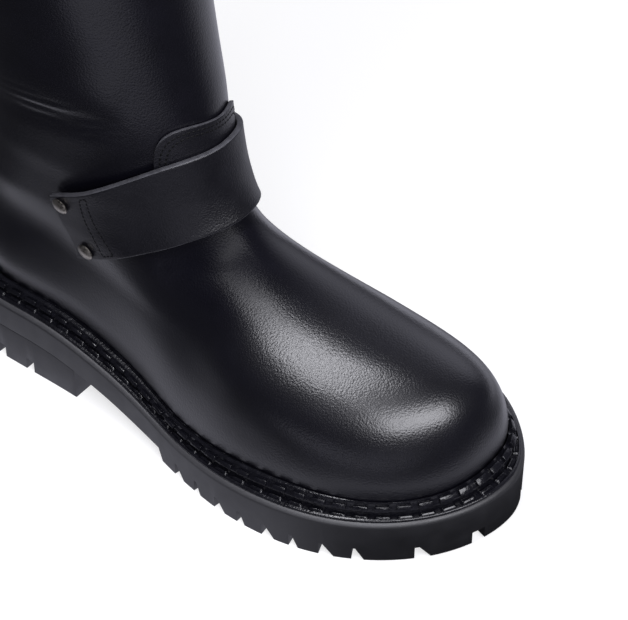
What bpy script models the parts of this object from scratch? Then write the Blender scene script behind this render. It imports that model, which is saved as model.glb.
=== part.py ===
"""Right-foot biker boot: welted upper on a lugged sole, with an instep tab and a riveted strap.

Metres, +X to the toe, +Y to the inner (medial) side, +Z up, floor at zero.
The forms are worked out heel to toe, x = 0 at the back of the sole, and shifted to
the middle of the sole's box as each part is added.
"""
import math
from collections import namedtuple

import bmesh
import bpy
import numpy as np
from mathutils import Vector

# Driving dimensions
SOLE_LENGTH = 0.263
BALL_WIDTH = 0.106
INSTEP_HEIGHT = 0.096
BOOT_HEIGHT = 0.285
HEEL_LIFT = 0.012
TOE_SPRING = 0.003
TREAD_SPRING = 0.0013
SOLE_THICKNESS = 0.0184
LUG_HEIGHT = 0.006
UPPER_WALL = 0.0022
SEAT_GAP = 0.0003

# Sole, heel and insole
TOE_SWING = 0.04 * SOLE_LENGTH
SWING_START = 0.495 * SOLE_LENGTH
SWING_POWER = 1.6
SPRING_START = 0.692 * SOLE_LENGTH
WAIST_END = 0.54 * SOLE_LENGTH
HEEL_SEAT_END = 0.217 * SOLE_LENGTH
SOLE_NOSE = 0.274 * SOLE_LENGTH
SOLE_NOSE_POWER = 2.0
SOLE_MEDIAL_NOSE_POWER = 1.83
SOLE_TAIL = 0.16 * SOLE_LENGTH
HEEL_BREAST = 0.319 * SOLE_LENGTH
SIDE_LUG_DEPTH = 0.013
CHANNEL_WIDTH = 0.005
LUG_START = 0.506 * SOLE_LENGTH
LUG_PITCH = 0.01175
LUG_LENGTH = 0.0104
LUG_COUNT = 8
LUG_SLANTS = (0.0024, 0.0042)
TOE_LUG_SLANT = 0.003
INSOLE_THICKNESS = 0.003
INSOLE_CLEARANCE = 0.0008
INSOLE_SEAT = 0.0005

# Welt: flat margin on the sole's edge and a rim standing against the upper
WELT_MARGIN = 0.0009
WELT_SEAT = 0.0008
WELT_THICKNESS = 0.003
WELT_FLAT = 0.0045
WELT_RIM = 0.0022
RIM_SLOPE = 0.2
RIM_RING = 1.0

# Instep strap, tab and rivets
STRAP_THICKNESS = 0.0026
STRAP_TOP_HEIGHT = 0.1395
STRAP_TOP_SLOPE = 0.63
STRAP_TOP_FRONT = 0.1356
STRAP_LOW_HEIGHT = 0.1041
STRAP_LOW_SLOPE = 0.55
STRAP_LOW_FRONT = 0.1443
STRAP_LOW_END = math.radians(71)
STRAP_TOP_END = math.radians(84)
STRAP_TOP_DROP = 0.0033
STRAP_LOW_DROP = 0.0014
STRAP_DROP_START = math.radians(140)
STRAP_DROP_SWEEP = math.radians(40)
STRAP_SEAT = 0.0005
STRAP_OVER_TAB = 0.0004
STRAP_STAND_OFF = 0.0042
STRAP_SETTLE = math.radians(22)
TAB_STEP = math.radians(14)
STRAP_ROWS = 4
TAB_THICKNESS = 0.0014
TAB_SEAT = 0.0004
TAB_MIDDLE = math.radians(177)
TAB_HALF_ANGLE = math.radians(38)
TAB_TOP_HEIGHT = 0.1445
TAB_DROP = 0.003
TAB_FOOT = 0.12
TAB_CORNER_POWER = 5
TAB_EDGE = 0.985
TAB_ROWS = 7
TAB_COLUMNS = 17
RIVET_RADIUS = 0.0036
RIVET_SEAT = 0.0006
RIVET_EDGE = 0.0005
RIVET_DOME = 0.0013
RIVET_FROM_END = math.radians(7)
RIVET_ACROSS = (0.14, 0.86)

# Mesh fineness
UPPER_COLUMNS = 44
RING_STEP = 0.5
STRAP_COLUMNS = 53
INSOLE_STATIONS = 20
RIVET_SIDES = 16
RIVET_DOME_POINTS = 6
SHARP_ANGLE = math.radians(35)
SOLE_TIP = 0.0004
HEEL_STATIONS = (0.003, 0.008, 0.015, 0.024, 0.035, 0.047, 0.060, 0.073, 0.086, 0.099, 0.112, 0.124)
HEEL_BLOCK_STATIONS = (0.003, 0.015)
RING_HALVINGS = 40
NUDGE = 1e-3
SLACK = 1e-6

# Half widths of the foot inside the upper, in shares of half the ball width
Last = namedtuple("Last", "along lateral medial")
LAST = (
    Last(0.00, 0.566, 0.566),
    Last(0.15, 0.594, 0.585),
    Last(0.30, 0.585, 0.538),
    Last(0.42, 0.632, 0.509),
    Last(0.55, 0.755, 0.566),
    Last(0.65, 0.830, 0.651),
    Last(0.72, 0.849, 0.691),
    Last(0.80, 0.849, 0.702),
    Last(1.00, 0.858, 0.702),
)
LAST_HEEL = 0.038 * SOLE_LENGTH
LAST_TOE = 0.954 * SOLE_LENGTH

# Half widths of the sole, in shares of half the ball width
Tread = namedtuple("Tread", "along lateral medial")
SOLE = (
    Tread(0.00, 0.717, 0.717),
    Tread(0.15, 0.755, 0.745),
    Tread(0.32, 0.764, 0.698),
    Tread(0.40, 0.787, 0.679),
    Tread(0.50, 0.864, 0.698),
    Tread(0.57, 0.953, 0.755),
    Tread(0.64, 1.028, 0.830),
    Tread(0.70, 1.057, 0.903),
    Tread(0.75, 1.057, 0.962),
    Tread(0.88, 1.057, 1.056),
    Tread(1.00, 1.057, 0.943),
)

# Rings of the upper from feather line to collar. Front, back, nose and tail are shares of
# the sole's length. Levels are 0 on the sole, 1 at the instep height and 2 at the collar.
# Lateral, medial and swell are shares of half the ball width, and foot says how far the
# ring follows the last (1) or a plain oval (0).
Ring = namedtuple("Ring", "front front_level back back_level nose tail lateral medial foot swell")
RINGS = (
    Ring(0.956, 0.009, 0.048, 0.009, 0.217, 0.129, 0.755, 0.679, 1.00, -0.028),
    Ring(0.965, 0.113, 0.036, 0.116, 0.221, 0.133, 0.755, 0.679, 1.00, 0.015),
    Ring(0.963, 0.231, 0.027, 0.238, 0.230, 0.141, 0.755, 0.679, 1.00, 0.028),
    Ring(0.952, 0.372, 0.023, 0.360, 0.256, 0.145, 0.755, 0.679, 1.00, 0.010),
    Ring(0.934, 0.494, 0.023, 0.482, 0.308, 0.148, 0.755, 0.679, 0.96, -0.024),
    Ring(0.897, 0.593, 0.025, 0.604, 0.401, 0.152, 0.755, 0.679, 0.90, -0.060),
    Ring(0.834, 0.669, 0.029, 0.726, 0.513, 0.156, 0.755, 0.679, 0.80, -0.085),
    Ring(0.753, 0.729, 0.034, 0.848, 0.570, 0.160, 0.755, 0.679, 0.68, -0.094),
    Ring(0.669, 0.794, 0.040, 0.985, 0.570, 0.167, 0.755, 0.679, 0.54, -0.094),
    Ring(0.597, 0.878, 0.046, 1.042, 0.513, 0.179, 0.736, 0.679, 0.40, -0.094),
    Ring(0.546, 1.000, 0.050, 1.095, 0.437, 0.190, 0.717, 0.698, 0.27, -0.075),
    Ring(0.517, 1.069, 0.051, 1.153, 0.361, 0.202, 0.717, 0.717, 0.15, -0.075),
    Ring(0.501, 1.153, 0.050, 1.222, 0.304, 0.213, 0.717, 0.717, 0.06, -0.075),
    Ring(0.490, 1.249, 0.046, 1.302, 0.262, 0.217, 0.736, 0.736, 0.00, 0.000),
    Ring(0.473, 1.354, 0.038, 1.397, 0.236, 0.217, 0.764, 0.764, 0.00, 0.000),
    Ring(0.456, 1.476, 0.029, 1.508, 0.224, 0.217, 0.802, 0.802, 0.00, 0.000),
    Ring(0.441, 1.619, 0.019, 1.640, 0.217, 0.217, 0.840, 0.840, 0.00, 0.000),
    Ring(0.428, 1.794, 0.008, 1.804, 0.213, 0.213, 0.877, 0.877, 0.00, 0.000),
    Ring(0.418, 2.000, 0.002, 2.000, 0.209, 0.209, 0.906, 0.906, 0.00, 0.000),
)
TOE_BLUNTNESS = 0.34

# Soft swells of the flanks: on the lateral side the hollows beside the instep and over the waist and the
# fullness at the ball, on the medial side the hollow of the vamp. Each has its height, its middle by ring
# number and share of the sole's length, and its spread.
Swell = namedtuple("Swell", "height ring ring_spread along along_spread")
FLANK = (
    Swell(-0.0053, 6.9, 3.35, 0.543, 0.069),
    Swell(0.0029, 2.4, 2.20, 0.725, 0.250),
    Swell(-0.0015, 2.2, 1.75, 0.428, 0.140),
)
MEDIAL_FLANK = (
    Swell(-0.0022, 6.1, 3.00, 0.800, 0.200),
)
FLANK_FOOT_RING = 1.0
FLANK_FOOT_RISE = 1.0
FLANK_TOP_RING = 8.0
FLANK_TOP_FADE = 3.0

# Lugs of the heel, as shares of its length from the back of the sole to the breast
HeelLug = namedtuple("HeelLug", "start end")
HEEL_LUGS = (
    HeelLug(0.00, 0.08),
    HeelLug(0.13, 0.29),
    HeelLug(0.34, 0.48),
    HeelLug(0.53, 0.67),
    HeelLug(0.72, 1.00),
)

# Wide lugs round the toe, as shares of the sole's length
ToeLug = namedtuple("ToeLug", "start end")
TOE_LUGS = (
    ToeLug(0.863, 0.932),
    ToeLug(0.937, 0.983),
    ToeLug(0.991, 1.000),
)

Finish = namedtuple("Finish", "colour roughness metallic")
FINISHES = {
    "leather": Finish((0.012, 0.012, 0.014, 1.0), 0.38, 0.0),
    "rubber": Finish((0.020, 0.020, 0.021, 1.0), 0.62, 0.0),
    "welt": Finish((0.010, 0.010, 0.011, 1.0), 0.30, 0.0),
    "fabric": Finish((0.045, 0.042, 0.040, 1.0), 0.85, 0.0),
    "nickel": Finish((0.420, 0.400, 0.360, 1.0), 0.32, 1.0),
}


def smooth_step(share):
    share = np.clip(share, 0.0, 1.0)
    return share * share * (3.0 - 2.0 * share)


def through(knots, values, at):
    """Smooth curve through a table's column, with slopes weighted by the spacing."""
    knots = np.asarray(knots, float)
    values = np.asarray(values, float)
    step = np.diff(knots)
    slope = np.diff(values) / step
    tangent = np.empty_like(values)
    tangent[0] = slope[0]
    tangent[-1] = slope[-1]
    tangent[1:-1] = (slope[:-1] * step[1:] + slope[1:] * step[:-1]) / (step[1:] + step[:-1])
    at = np.clip(at, knots[0], knots[-1])
    i = np.clip(np.searchsorted(knots, at, side="right") - 1, 0, len(step) - 1)
    t = (at - knots[i]) / step[i]
    rise = values[i + 1] - values[i]
    start_bend = step[i] * tangent[i]
    end_bend = step[i] * tangent[i + 1]
    return (values[i] + rise * t * t * (3.0 - 2.0 * t)
            + start_bend * t * (1.0 - t) ** 2 - end_bend * t * t * (1.0 - t))


def sole_lift(x, toe_spring=TOE_SPRING):
    """Height over the floor that the toe spring in front and the heel lift behind give."""
    spring = np.clip((x - SPRING_START) / (SOLE_LENGTH - SPRING_START), 0.0, 1.0)
    seat = smooth_step((WAIST_END - x) / (WAIST_END - HEEL_SEAT_END))
    return toe_spring * spring ** 2 + HEEL_LIFT * seat


def foot_axis(x):
    """Sideways place of the foot's axis, which swings inwards towards the toe."""
    share = np.clip((x - SWING_START) / (LAST_TOE - SWING_START), 0.0, 1.1)
    return TOE_SWING * share ** SWING_POWER


def side_of(angle):
    """-1 on the lateral side and 1 on the medial side; the angle runs heel, lateral, toe."""
    return np.where(np.sin(angle) >= 0.0, -1.0, 1.0)


def rounded(share, power):
    """Quarter of a rounded end: 0 at its tip, 1 where the full width is reached."""
    share = np.clip(share, 0.0, 1.0)
    return np.clip(1.0 - (1.0 - share) ** power, 0.0, 1.0) ** (1.0 / power)


def table_half_width(table, share, side):
    along = [row.along for row in table]
    lateral = through(along, [row.lateral for row in table], share)
    medial = through(along, [row.medial for row in table], share)
    return 0.5 * BALL_WIDTH * np.where(side < 0.0, lateral, medial)


def sole_edge(angle):
    """Plan outline of the sole, an (n, 2) array of x and y."""
    x = SOLE_LENGTH * (0.5 - 0.5 * np.cos(angle))
    side = side_of(angle)
    half = table_half_width(SOLE, x / SOLE_LENGTH, side)
    nose_power = np.where(side < 0.0, SOLE_NOSE_POWER, SOLE_MEDIAL_NOSE_POWER)
    half = half * rounded((SOLE_LENGTH - x) / SOLE_NOSE, nose_power) * rounded(x / SOLE_TAIL, 2.0)
    return np.stack([x, side * half + foot_axis(x)], axis=-1)


def edge_place(x, side):
    """Sideways place of the sole's edge at x, on the lateral (-1) or medial (1) side."""
    angle = math.acos(1.0 - 2.0 * min(x / SOLE_LENGTH, 1.0))
    return sole_edge(np.array([angle if side < 0.0 else 2.0 * math.pi - angle]))[0, 1]


def level_height(level, x):
    """Height of a ring's end: 0 on the sole, 1 at the instep height, 2 at the collar."""
    base = SOLE_THICKNESS + sole_lift(x)
    if level <= 1.0:
        return base + level * (INSTEP_HEIGHT - base)
    return INSTEP_HEIGHT + (level - 1.0) * (BOOT_HEIGHT - INSTEP_HEIGHT)


RING_NUMBERS = np.arange(len(RINGS))
FRONT_HEIGHTS = [level_height(row.front_level, row.front * SOLE_LENGTH) for row in RINGS]
BACK_HEIGHTS = [level_height(row.back_level, row.back * SOLE_LENGTH) for row in RINGS]


def flank_swell(ring, x, swells):
    """Height of a flank's swells, none at the welt's rim and fading out under the strap."""
    rise = smooth_step((ring - FLANK_FOOT_RING) / FLANK_FOOT_RISE)
    fade = 1.0 - smooth_step((ring - FLANK_TOP_RING) / FLANK_TOP_FADE)
    total = 0.0
    for swell in swells:
        up = (ring - swell.ring) / swell.ring_spread
        ahead = (x / SOLE_LENGTH - swell.along) / swell.along_spread
        total = total + swell.height * np.exp(-up ** 2 - ahead ** 2)
    return rise * fade * total


def upper_point(ring, angle):
    """Point of the upper's outer face at a ring number and an angle round the boot."""
    row = Ring(*(through(RING_NUMBERS, column, ring) for column in zip(*RINGS)))
    front = row.front * SOLE_LENGTH
    back = row.back * SOLE_LENGTH
    share = 0.5 - 0.5 * np.cos(angle)
    x = back + (front - back) * share
    side = side_of(angle)
    along = (x - LAST_HEEL) / (LAST_TOE - LAST_HEEL)
    foot = table_half_width(LAST, along, side) + row.swell * 0.5 * BALL_WIDTH
    oval = 0.5 * BALL_WIDTH * np.where(side < 0.0, row.lateral, row.medial)
    half = row.foot * foot + (1.0 - row.foot) * oval
    half = half + np.where(side < 0.0, flank_swell(ring, x, FLANK), flank_swell(ring, x, MEDIAL_FLANK))
    half = half * rounded((front - x) / (row.nose * SOLE_LENGTH), 2.0 + TOE_BLUNTNESS * row.foot)
    half = half * rounded((x - back) / (row.tail * SOLE_LENGTH), 2.0)
    back_height = through(RING_NUMBERS, BACK_HEIGHTS, ring)
    front_height = through(RING_NUMBERS, FRONT_HEIGHTS, ring)
    straight_lift = sole_lift(back) + (sole_lift(front) - sole_lift(back)) * share
    height = back_height + (front_height - back_height) * share
    height = height + row.foot * (sole_lift(x) - straight_lift)
    y = side * half + row.foot * foot_axis(x)
    return np.stack(np.broadcast_arrays(x, y, height), axis=-1)


def upper_normal(ring, angle):
    """Outward unit normal of the upper's outer face."""
    last_ring = len(RINGS) - 1
    above = upper_point(np.minimum(ring + NUDGE, last_ring), angle)
    below = upper_point(np.maximum(ring - NUDGE, 0.0), angle)
    ahead = upper_point(ring, angle + NUDGE)
    behind = upper_point(ring, angle - NUDGE)
    normal = np.cross(ahead - behind, above - below)
    return normal / np.linalg.norm(normal, axis=-1, keepdims=True)


def upper_offset(ring, angle, out):
    """Point at a distance out from the upper's outer face."""
    ring, angle = np.broadcast_arrays(np.asarray(ring, float), np.asarray(angle, float))
    return upper_point(ring, angle) + upper_normal(ring, angle) * np.asarray(out)[..., None]


def ring_at(angle, height, slope, front):
    """Ring number where the upper crosses the tilted plane z = height + slope (x - front)."""
    low = np.zeros_like(angle)
    high = np.full_like(angle, len(RINGS) - 1.0)
    for _ in range(RING_HALVINGS):
        middle = 0.5 * (low + high)
        point = upper_point(middle, angle)
        under = point[..., 2] < height + slope * (point[..., 0] - front)
        low = np.where(under, middle, low)
        high = np.where(under, high, middle)
    return 0.5 * (low + high)


def strap_end(across):
    """Angle of the strap's lateral end, slanting back from the upper to the lower edge."""
    return STRAP_LOW_END + (STRAP_TOP_END - STRAP_LOW_END) * across


def strap_ring(angle, across):
    """Ring number under the strap: across is 0 at its lower edge and 1 at its upper edge."""
    height = STRAP_LOW_HEIGHT + (STRAP_TOP_HEIGHT - STRAP_LOW_HEIGHT) * across
    drop = STRAP_LOW_DROP + (STRAP_TOP_DROP - STRAP_LOW_DROP) * across
    height = height - drop * smooth_step((angle - STRAP_DROP_START) / STRAP_DROP_SWEEP)
    slope = STRAP_LOW_SLOPE + (STRAP_TOP_SLOPE - STRAP_LOW_SLOPE) * across
    front = STRAP_LOW_FRONT + (STRAP_TOP_FRONT - STRAP_LOW_FRONT) * across
    return ring_at(angle, height, slope, front)


def strap_clearance(angle, across):
    """Gap under the strap: over the tab in front, standing off above at the sides, snug at the ends."""
    beyond_tab = np.abs(angle - TAB_MIDDLE) - TAB_HALF_ANGLE
    tab_gap = TAB_SEAT + TAB_THICKNESS + STRAP_OVER_TAB
    over_tab = tab_gap * (1.0 - smooth_step(beyond_tab / TAB_STEP))
    from_end = math.pi - strap_end(across) - np.abs(angle - math.pi)
    stand_off = STRAP_STAND_OFF * across * smooth_step(beyond_tab / TAB_HALF_ANGLE)
    return np.maximum(over_tab, STRAP_SEAT + stand_off * smooth_step(from_end / STRAP_SETTLE))


def strap_point(angle, across, out):
    """Point over the strap's inner face, out metres further from the upper."""
    return upper_offset(strap_ring(angle, across), angle, strap_clearance(angle, across) + out)


def strap_normal(angle, across):
    """Outward unit normal of the strap."""
    ahead = strap_point(angle + NUDGE, across, 0.0)
    behind = strap_point(angle - NUDGE, across, 0.0)
    above = strap_point(angle, across + NUDGE, 0.0)
    below = strap_point(angle, across - NUDGE, 0.0)
    normal = np.cross(ahead - behind, above - below)
    return normal / np.linalg.norm(normal, axis=-1, keepdims=True)


def tab_top_ring(angle):
    """Ring number at the tab's top, a little lower on the medial side."""
    height = TAB_TOP_HEIGHT - TAB_DROP * smooth_step((angle - TAB_MIDDLE) / TAB_HALF_ANGLE + 0.5)
    return ring_at(angle, height, 0.0, 0.0)


def plan_ring(stations):
    """Plan outline through the given x places, lateral side heel to toe, then back on the medial side."""
    angle = np.arccos(1.0 - 2.0 * np.asarray(stations) / SOLE_LENGTH)
    return sole_edge(np.concatenate([angle, 2.0 * math.pi - angle[::-1]]))


def inset_ring(outline, distance):
    """Plan outline moved inwards along its own normals."""
    tangent = np.roll(outline, -1, axis=0) - np.roll(outline, 1, axis=0)
    inward = np.stack([-tangent[:, 1], tangent[:, 0]], axis=-1)
    inward = inward / np.linalg.norm(inward, axis=1, keepdims=True)
    return outline + inward * distance


def raise_ring(outline, height):
    """Plan outline as 3-D points, height being a function of x."""
    return np.column_stack([outline, height(outline[:, 0])])


def tread_line(x):
    return sole_lift(x, TREAD_SPRING) + LUG_HEIGHT


def sole_top(x):
    return sole_lift(x) + SOLE_THICKNESS


def lug_spans():
    """Start and end of each forefoot lug along the sole."""
    side = [(LUG_START + k * LUG_PITCH, LUG_START + k * LUG_PITCH + LUG_LENGTH) for k in range(LUG_COUNT)]
    toe = [(lug.start * SOLE_LENGTH, lug.end * SOLE_LENGTH) for lug in TOE_LUGS]
    return side + toe


def sole_stations():
    """Places of the sole's cross-sections: the lug edges, and even steps over heel and waist."""
    edges = np.array(lug_spans()).ravel()
    edges = edges[edges < SOLE_LENGTH - SOLE_TIP]
    wide = [0.5 * (lug.start + lug.end) * SOLE_LENGTH for lug in TOE_LUGS]
    tips = (SOLE_TIP, SOLE_LENGTH - SOLE_TIP)
    return np.sort(np.concatenate([tips, HEEL_STATIONS, edges, wide]))


SOLE_STATIONS = sole_stations()
SOLE_OUTLINE = plan_ring(SOLE_STATIONS)
CENTRE = np.append(0.5 * (SOLE_OUTLINE.min(axis=0) + SOLE_OUTLINE.max(axis=0)), 0.0)


def clear_scene():
    for old in list(bpy.data.objects):
        bpy.data.objects.remove(old, do_unlink=True)


def make_material(name, finish):
    material = bpy.data.materials.new(name)
    material.use_nodes = True
    shader = material.node_tree.nodes["Principled BSDF"]
    shader.inputs["Base Color"].default_value = finish.colour
    shader.inputs["Roughness"].default_value = finish.roughness
    shader.inputs["Metallic"].default_value = finish.metallic
    material.diffuse_color = finish.colour
    return material


def add_part(collection, name, bm, finish):
    """Part from a bmesh in the heel-to-toe frame, shifted to the middle of the sole's box."""
    bmesh.ops.translate(bm, verts=bm.verts, vec=-Vector(CENTRE))
    mesh = bpy.data.meshes.new(name)
    bm.to_mesh(mesh)
    bm.free()
    mesh.shade_smooth()
    mesh.set_sharp_from_angle(angle=SHARP_ANGLE)
    mesh.materials.append(make_material(name, FINISHES[finish]))
    part = bpy.data.objects.new(name, mesh)
    collection.objects.link(part)
    return part


def add_wall(part, thickness, offset):
    """Solid wall on an open surface: offset -1 grows inwards and 1 outwards."""
    solidify = part.modifiers.new("wall", "SOLIDIFY")
    solidify.thickness = thickness
    solidify.offset = offset
    solidify.use_even_offset = True


def add_points(bm, points):
    return [bm.verts.new(Vector(point)) for point in points]


def add_strip(bm, first, second, closed):
    """Quads between two rows of points."""
    count = len(first)
    spans = count if closed else count - 1
    faces = []
    for j in range(spans):
        k = (j + 1) % count
        faces.append(bm.faces.new((first[j], first[k], second[k], second[j])))
    return faces


def add_middle(bm, row):
    """Cross strips that close a ring, joining each lateral point to its medial twin."""
    count = len(row)
    faces = []
    for k in range(count // 2 - 1):
        faces.append(bm.faces.new((row[k], row[k + 1], row[count - 2 - k], row[count - 1 - k])))
    return faces


def add_grid(bm, grid, closed):
    """Open surface through a grid of points, given as rows."""
    rows = [add_points(bm, row) for row in grid]
    for low, high in zip(rows[:-1], rows[1:]):
        add_strip(bm, low, high, closed)


def extrude_lug(bm, faces, height, slant=0.0):
    """Lug pulled down out of the tread's faces, its rear flank leaning forward by the slant."""
    grown = bmesh.ops.extrude_face_region(bm, geom=faces)
    verts = [item for item in grown["geom"] if isinstance(item, bmesh.types.BMVert)]
    bmesh.ops.translate(bm, verts=verts, vec=Vector((0.0, 0.0, -height)))
    rear = min(vert.co.x for vert in verts)
    front = max(vert.co.x for vert in verts)
    for vert in verts:
        ahead = vert.co.x + slant * (front - vert.co.x) / (front - rear)
        side = -1.0 if vert.co.y < foot_axis(vert.co.x) else 1.0
        vert.co.y += edge_place(ahead, side) - edge_place(vert.co.x, side)
        vert.co.x = ahead
    bmesh.ops.delete(bm, geom=faces, context="FACES")


def face_outwards(bm):
    bmesh.ops.recalc_face_normals(bm, faces=bm.faces)


def span_cells(stations, span):
    """Numbers of the cross-section gaps that lie inside a span."""
    return [k for k in range(len(stations) - 1)
            if stations[k] >= span[0] - SLACK and stations[k + 1] <= span[1] + SLACK]


def build_outsole(collection):
    """Outsole: flat-sided slab over the arch, with side lugs, a channel and cross bars in front."""
    bm = bmesh.new()
    edge = SOLE_OUTLINE
    lug_foot = inset_ring(edge, SIDE_LUG_DEPTH)
    bar_edge = inset_ring(edge, SIDE_LUG_DEPTH + CHANNEL_WIDTH)
    outer = add_points(bm, raise_ring(edge, tread_line))
    inner = add_points(bm, raise_ring(lug_foot, tread_line))
    centre = add_points(bm, raise_ring(bar_edge, tread_line))
    top = add_points(bm, raise_ring(edge, sole_top))
    add_strip(bm, outer, top, True)
    add_middle(bm, top)
    side_cells = add_strip(bm, outer, inner, True)
    add_strip(bm, inner, centre, True)
    middle_cells = add_middle(bm, centre)
    face_outwards(bm)
    count = len(SOLE_STATIONS)
    toe_cell = side_cells[count - 1]
    for number, span in enumerate(lug_spans()):
        cells = span_cells(SOLE_STATIONS, span)
        lateral = [side_cells[k] for k in cells]
        medial = [side_cells[2 * count - 2 - k] for k in cells]
        if number == len(lug_spans()) - 1:
            extrude_lug(bm, lateral + [toe_cell] + medial, LUG_HEIGHT)
            continue
        slant = LUG_SLANTS[number % len(LUG_SLANTS)] if number < LUG_COUNT else TOE_LUG_SLANT
        extrude_lug(bm, lateral, LUG_HEIGHT, slant)
        extrude_lug(bm, medial, LUG_HEIGHT, slant)
        if number < LUG_COUNT:
            extrude_lug(bm, [middle_cells[k] for k in cells], LUG_HEIGHT, slant)
    face_outwards(bm)
    return add_part(collection, "outsole", bm, "rubber")


def build_heel(collection):
    """Heel block under the seat, with a flat tread cut into lugs."""
    bm = bmesh.new()
    tip = SOLE_STATIONS[0]
    edges = [tip + (HEEL_BREAST - tip) * share for lug in HEEL_LUGS for share in lug]
    stations = np.unique(np.concatenate([edges, HEEL_BLOCK_STATIONS]))
    edge = plan_ring(stations)
    breast = len(stations)
    lug_foot = inset_ring(edge, SIDE_LUG_DEPTH)
    lug_foot[breast - 1:breast + 1, 0] = HEEL_BREAST - SIDE_LUG_DEPTH
    outer = add_points(bm, raise_ring(edge, lambda x: np.full_like(x, LUG_HEIGHT)))
    inner = add_points(bm, raise_ring(lug_foot, lambda x: np.full_like(x, LUG_HEIGHT)))
    top = add_points(bm, raise_ring(edge, lambda x: tread_line(x) - SEAT_GAP))
    add_strip(bm, outer, top, True)
    add_middle(bm, top)
    cells = add_strip(bm, outer, inner, True)
    add_middle(bm, inner)
    face_outwards(bm)
    for number, lug in enumerate(HEEL_LUGS):
        span = (tip + (HEEL_BREAST - tip) * lug.start, tip + (HEEL_BREAST - tip) * lug.end)
        inside = span_cells(stations, span)
        lateral = [cells[k] for k in inside]
        medial = [cells[2 * breast - 2 - k] for k in inside]
        if number == 0:
            extrude_lug(bm, lateral + [cells[2 * breast - 1]] + medial, LUG_HEIGHT)
        elif number == len(HEEL_LUGS) - 1:
            extrude_lug(bm, lateral + [cells[breast - 1]] + medial, LUG_HEIGHT)
        else:
            extrude_lug(bm, lateral, LUG_HEIGHT)
            extrude_lug(bm, medial, LUG_HEIGHT)
    face_outwards(bm)
    return add_part(collection, "heel", bm, "rubber")


def build_welt(collection):
    """Storm welt: a flat margin round the sole's edge and a rim up the foot of the upper."""
    bm = bmesh.new()
    angle = np.arange(UPPER_COLUMNS) * 2.0 * math.pi / UPPER_COLUMNS
    edge = inset_ring(sole_edge(angle), WELT_MARGIN)
    flat_end = inset_ring(sole_edge(angle), WELT_MARGIN + WELT_FLAT)
    seat = np.full_like(angle, SEAT_GAP)
    inner = [upper_offset(share * RIM_RING, angle, seat) for share in (0.0, 0.5, 1.0)]
    rim_out = inner[-1].copy()
    outward = upper_normal(np.full_like(angle, RIM_RING), angle)
    outward[:, 2] = 0.0
    rim_out += WELT_RIM * outward
    rim_out[:, 2] -= RIM_SLOPE * WELT_RIM
    rings = [
        raise_ring(edge, lambda x: sole_top(x) + WELT_SEAT),
        raise_ring(edge, lambda x: sole_top(x) + WELT_THICKNESS),
        raise_ring(flat_end, lambda x: sole_top(x) + WELT_THICKNESS),
        rim_out,
        inner[2],
        inner[1],
        inner[0],
    ]
    rows = [add_points(bm, ring) for ring in rings]
    for low, high in zip(rows, rows[1:] + rows[:1]):
        add_strip(bm, low, high, True)
    face_outwards(bm)
    return add_part(collection, "welt", bm, "welt")


def build_insole(collection):
    """Insole lying on the sole inside the upper."""
    bm = bmesh.new()
    half_turn = (np.arange(INSOLE_STATIONS) + 0.5) * math.pi / INSOLE_STATIONS
    angle = np.concatenate([half_turn, 2.0 * math.pi - half_turn[::-1]])
    feather = upper_point(np.zeros_like(angle), angle)[:, :2]
    outline = inset_ring(feather, UPPER_WALL + INSOLE_CLEARANCE)
    low = add_points(bm, raise_ring(outline, lambda x: sole_top(x) + INSOLE_SEAT))
    high = add_points(bm, raise_ring(outline, lambda x: sole_top(x) + INSOLE_SEAT + INSOLE_THICKNESS))
    add_strip(bm, low, high, True)
    add_middle(bm, low)
    add_middle(bm, high)
    face_outwards(bm)
    return add_part(collection, "insole", bm, "fabric")


def build_upper(collection):
    """Upper: vamp, quarters and shaft in one wall, open at the collar and over the sole."""
    bm = bmesh.new()
    angle = np.arange(UPPER_COLUMNS) * 2.0 * math.pi / UPPER_COLUMNS
    rings = np.arange(0.0, len(RINGS) - 1.0 + 0.5 * RING_STEP, RING_STEP)
    grid = upper_point(rings[:, None], angle[None, :])
    add_grid(bm, grid, True)
    upper = add_part(collection, "upper", bm, "leather")
    add_wall(upper, UPPER_WALL, -1.0)
    return upper


def build_tab(collection):
    """Tab rising from under the strap over the foot of the shaft, with rounded upper corners."""
    bm = bmesh.new()
    across = np.linspace(-TAB_EDGE, TAB_EDGE, TAB_COLUMNS)
    angle = TAB_MIDDLE + across * TAB_HALF_ANGLE
    foot = strap_ring(angle, np.full_like(angle, TAB_FOOT))
    rise = (1.0 - np.abs(across) ** TAB_CORNER_POWER) ** (1.0 / TAB_CORNER_POWER)
    crest = foot + (tab_top_ring(angle) - foot) * rise
    share = np.linspace(0.0, 1.0, TAB_ROWS)[:, None]
    rings = foot + (crest - foot) * share
    grid = upper_offset(rings, np.broadcast_to(angle, rings.shape), np.full(rings.shape, TAB_SEAT))
    add_grid(bm, grid, False)
    tab = add_part(collection, "instep_tab", bm, "leather")
    add_wall(tab, TAB_THICKNESS, 1.0)
    return tab


def build_strap(collection):
    """Strap over the instep, high in front and falling towards its riveted ends."""
    bm = bmesh.new()
    reach = np.linspace(-1.0, 1.0, STRAP_COLUMNS)
    across = np.linspace(0.0, 1.0, STRAP_ROWS)
    angles = [math.pi + reach * (math.pi - strap_end(share)) for share in across]
    grid = [strap_point(angle, np.full_like(angle, share), 0.0) for angle, share in zip(angles, across)]
    add_grid(bm, grid, False)
    strap = add_part(collection, "instep_strap", bm, "leather")
    add_wall(strap, STRAP_THICKNESS, 1.0)
    return strap


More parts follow.
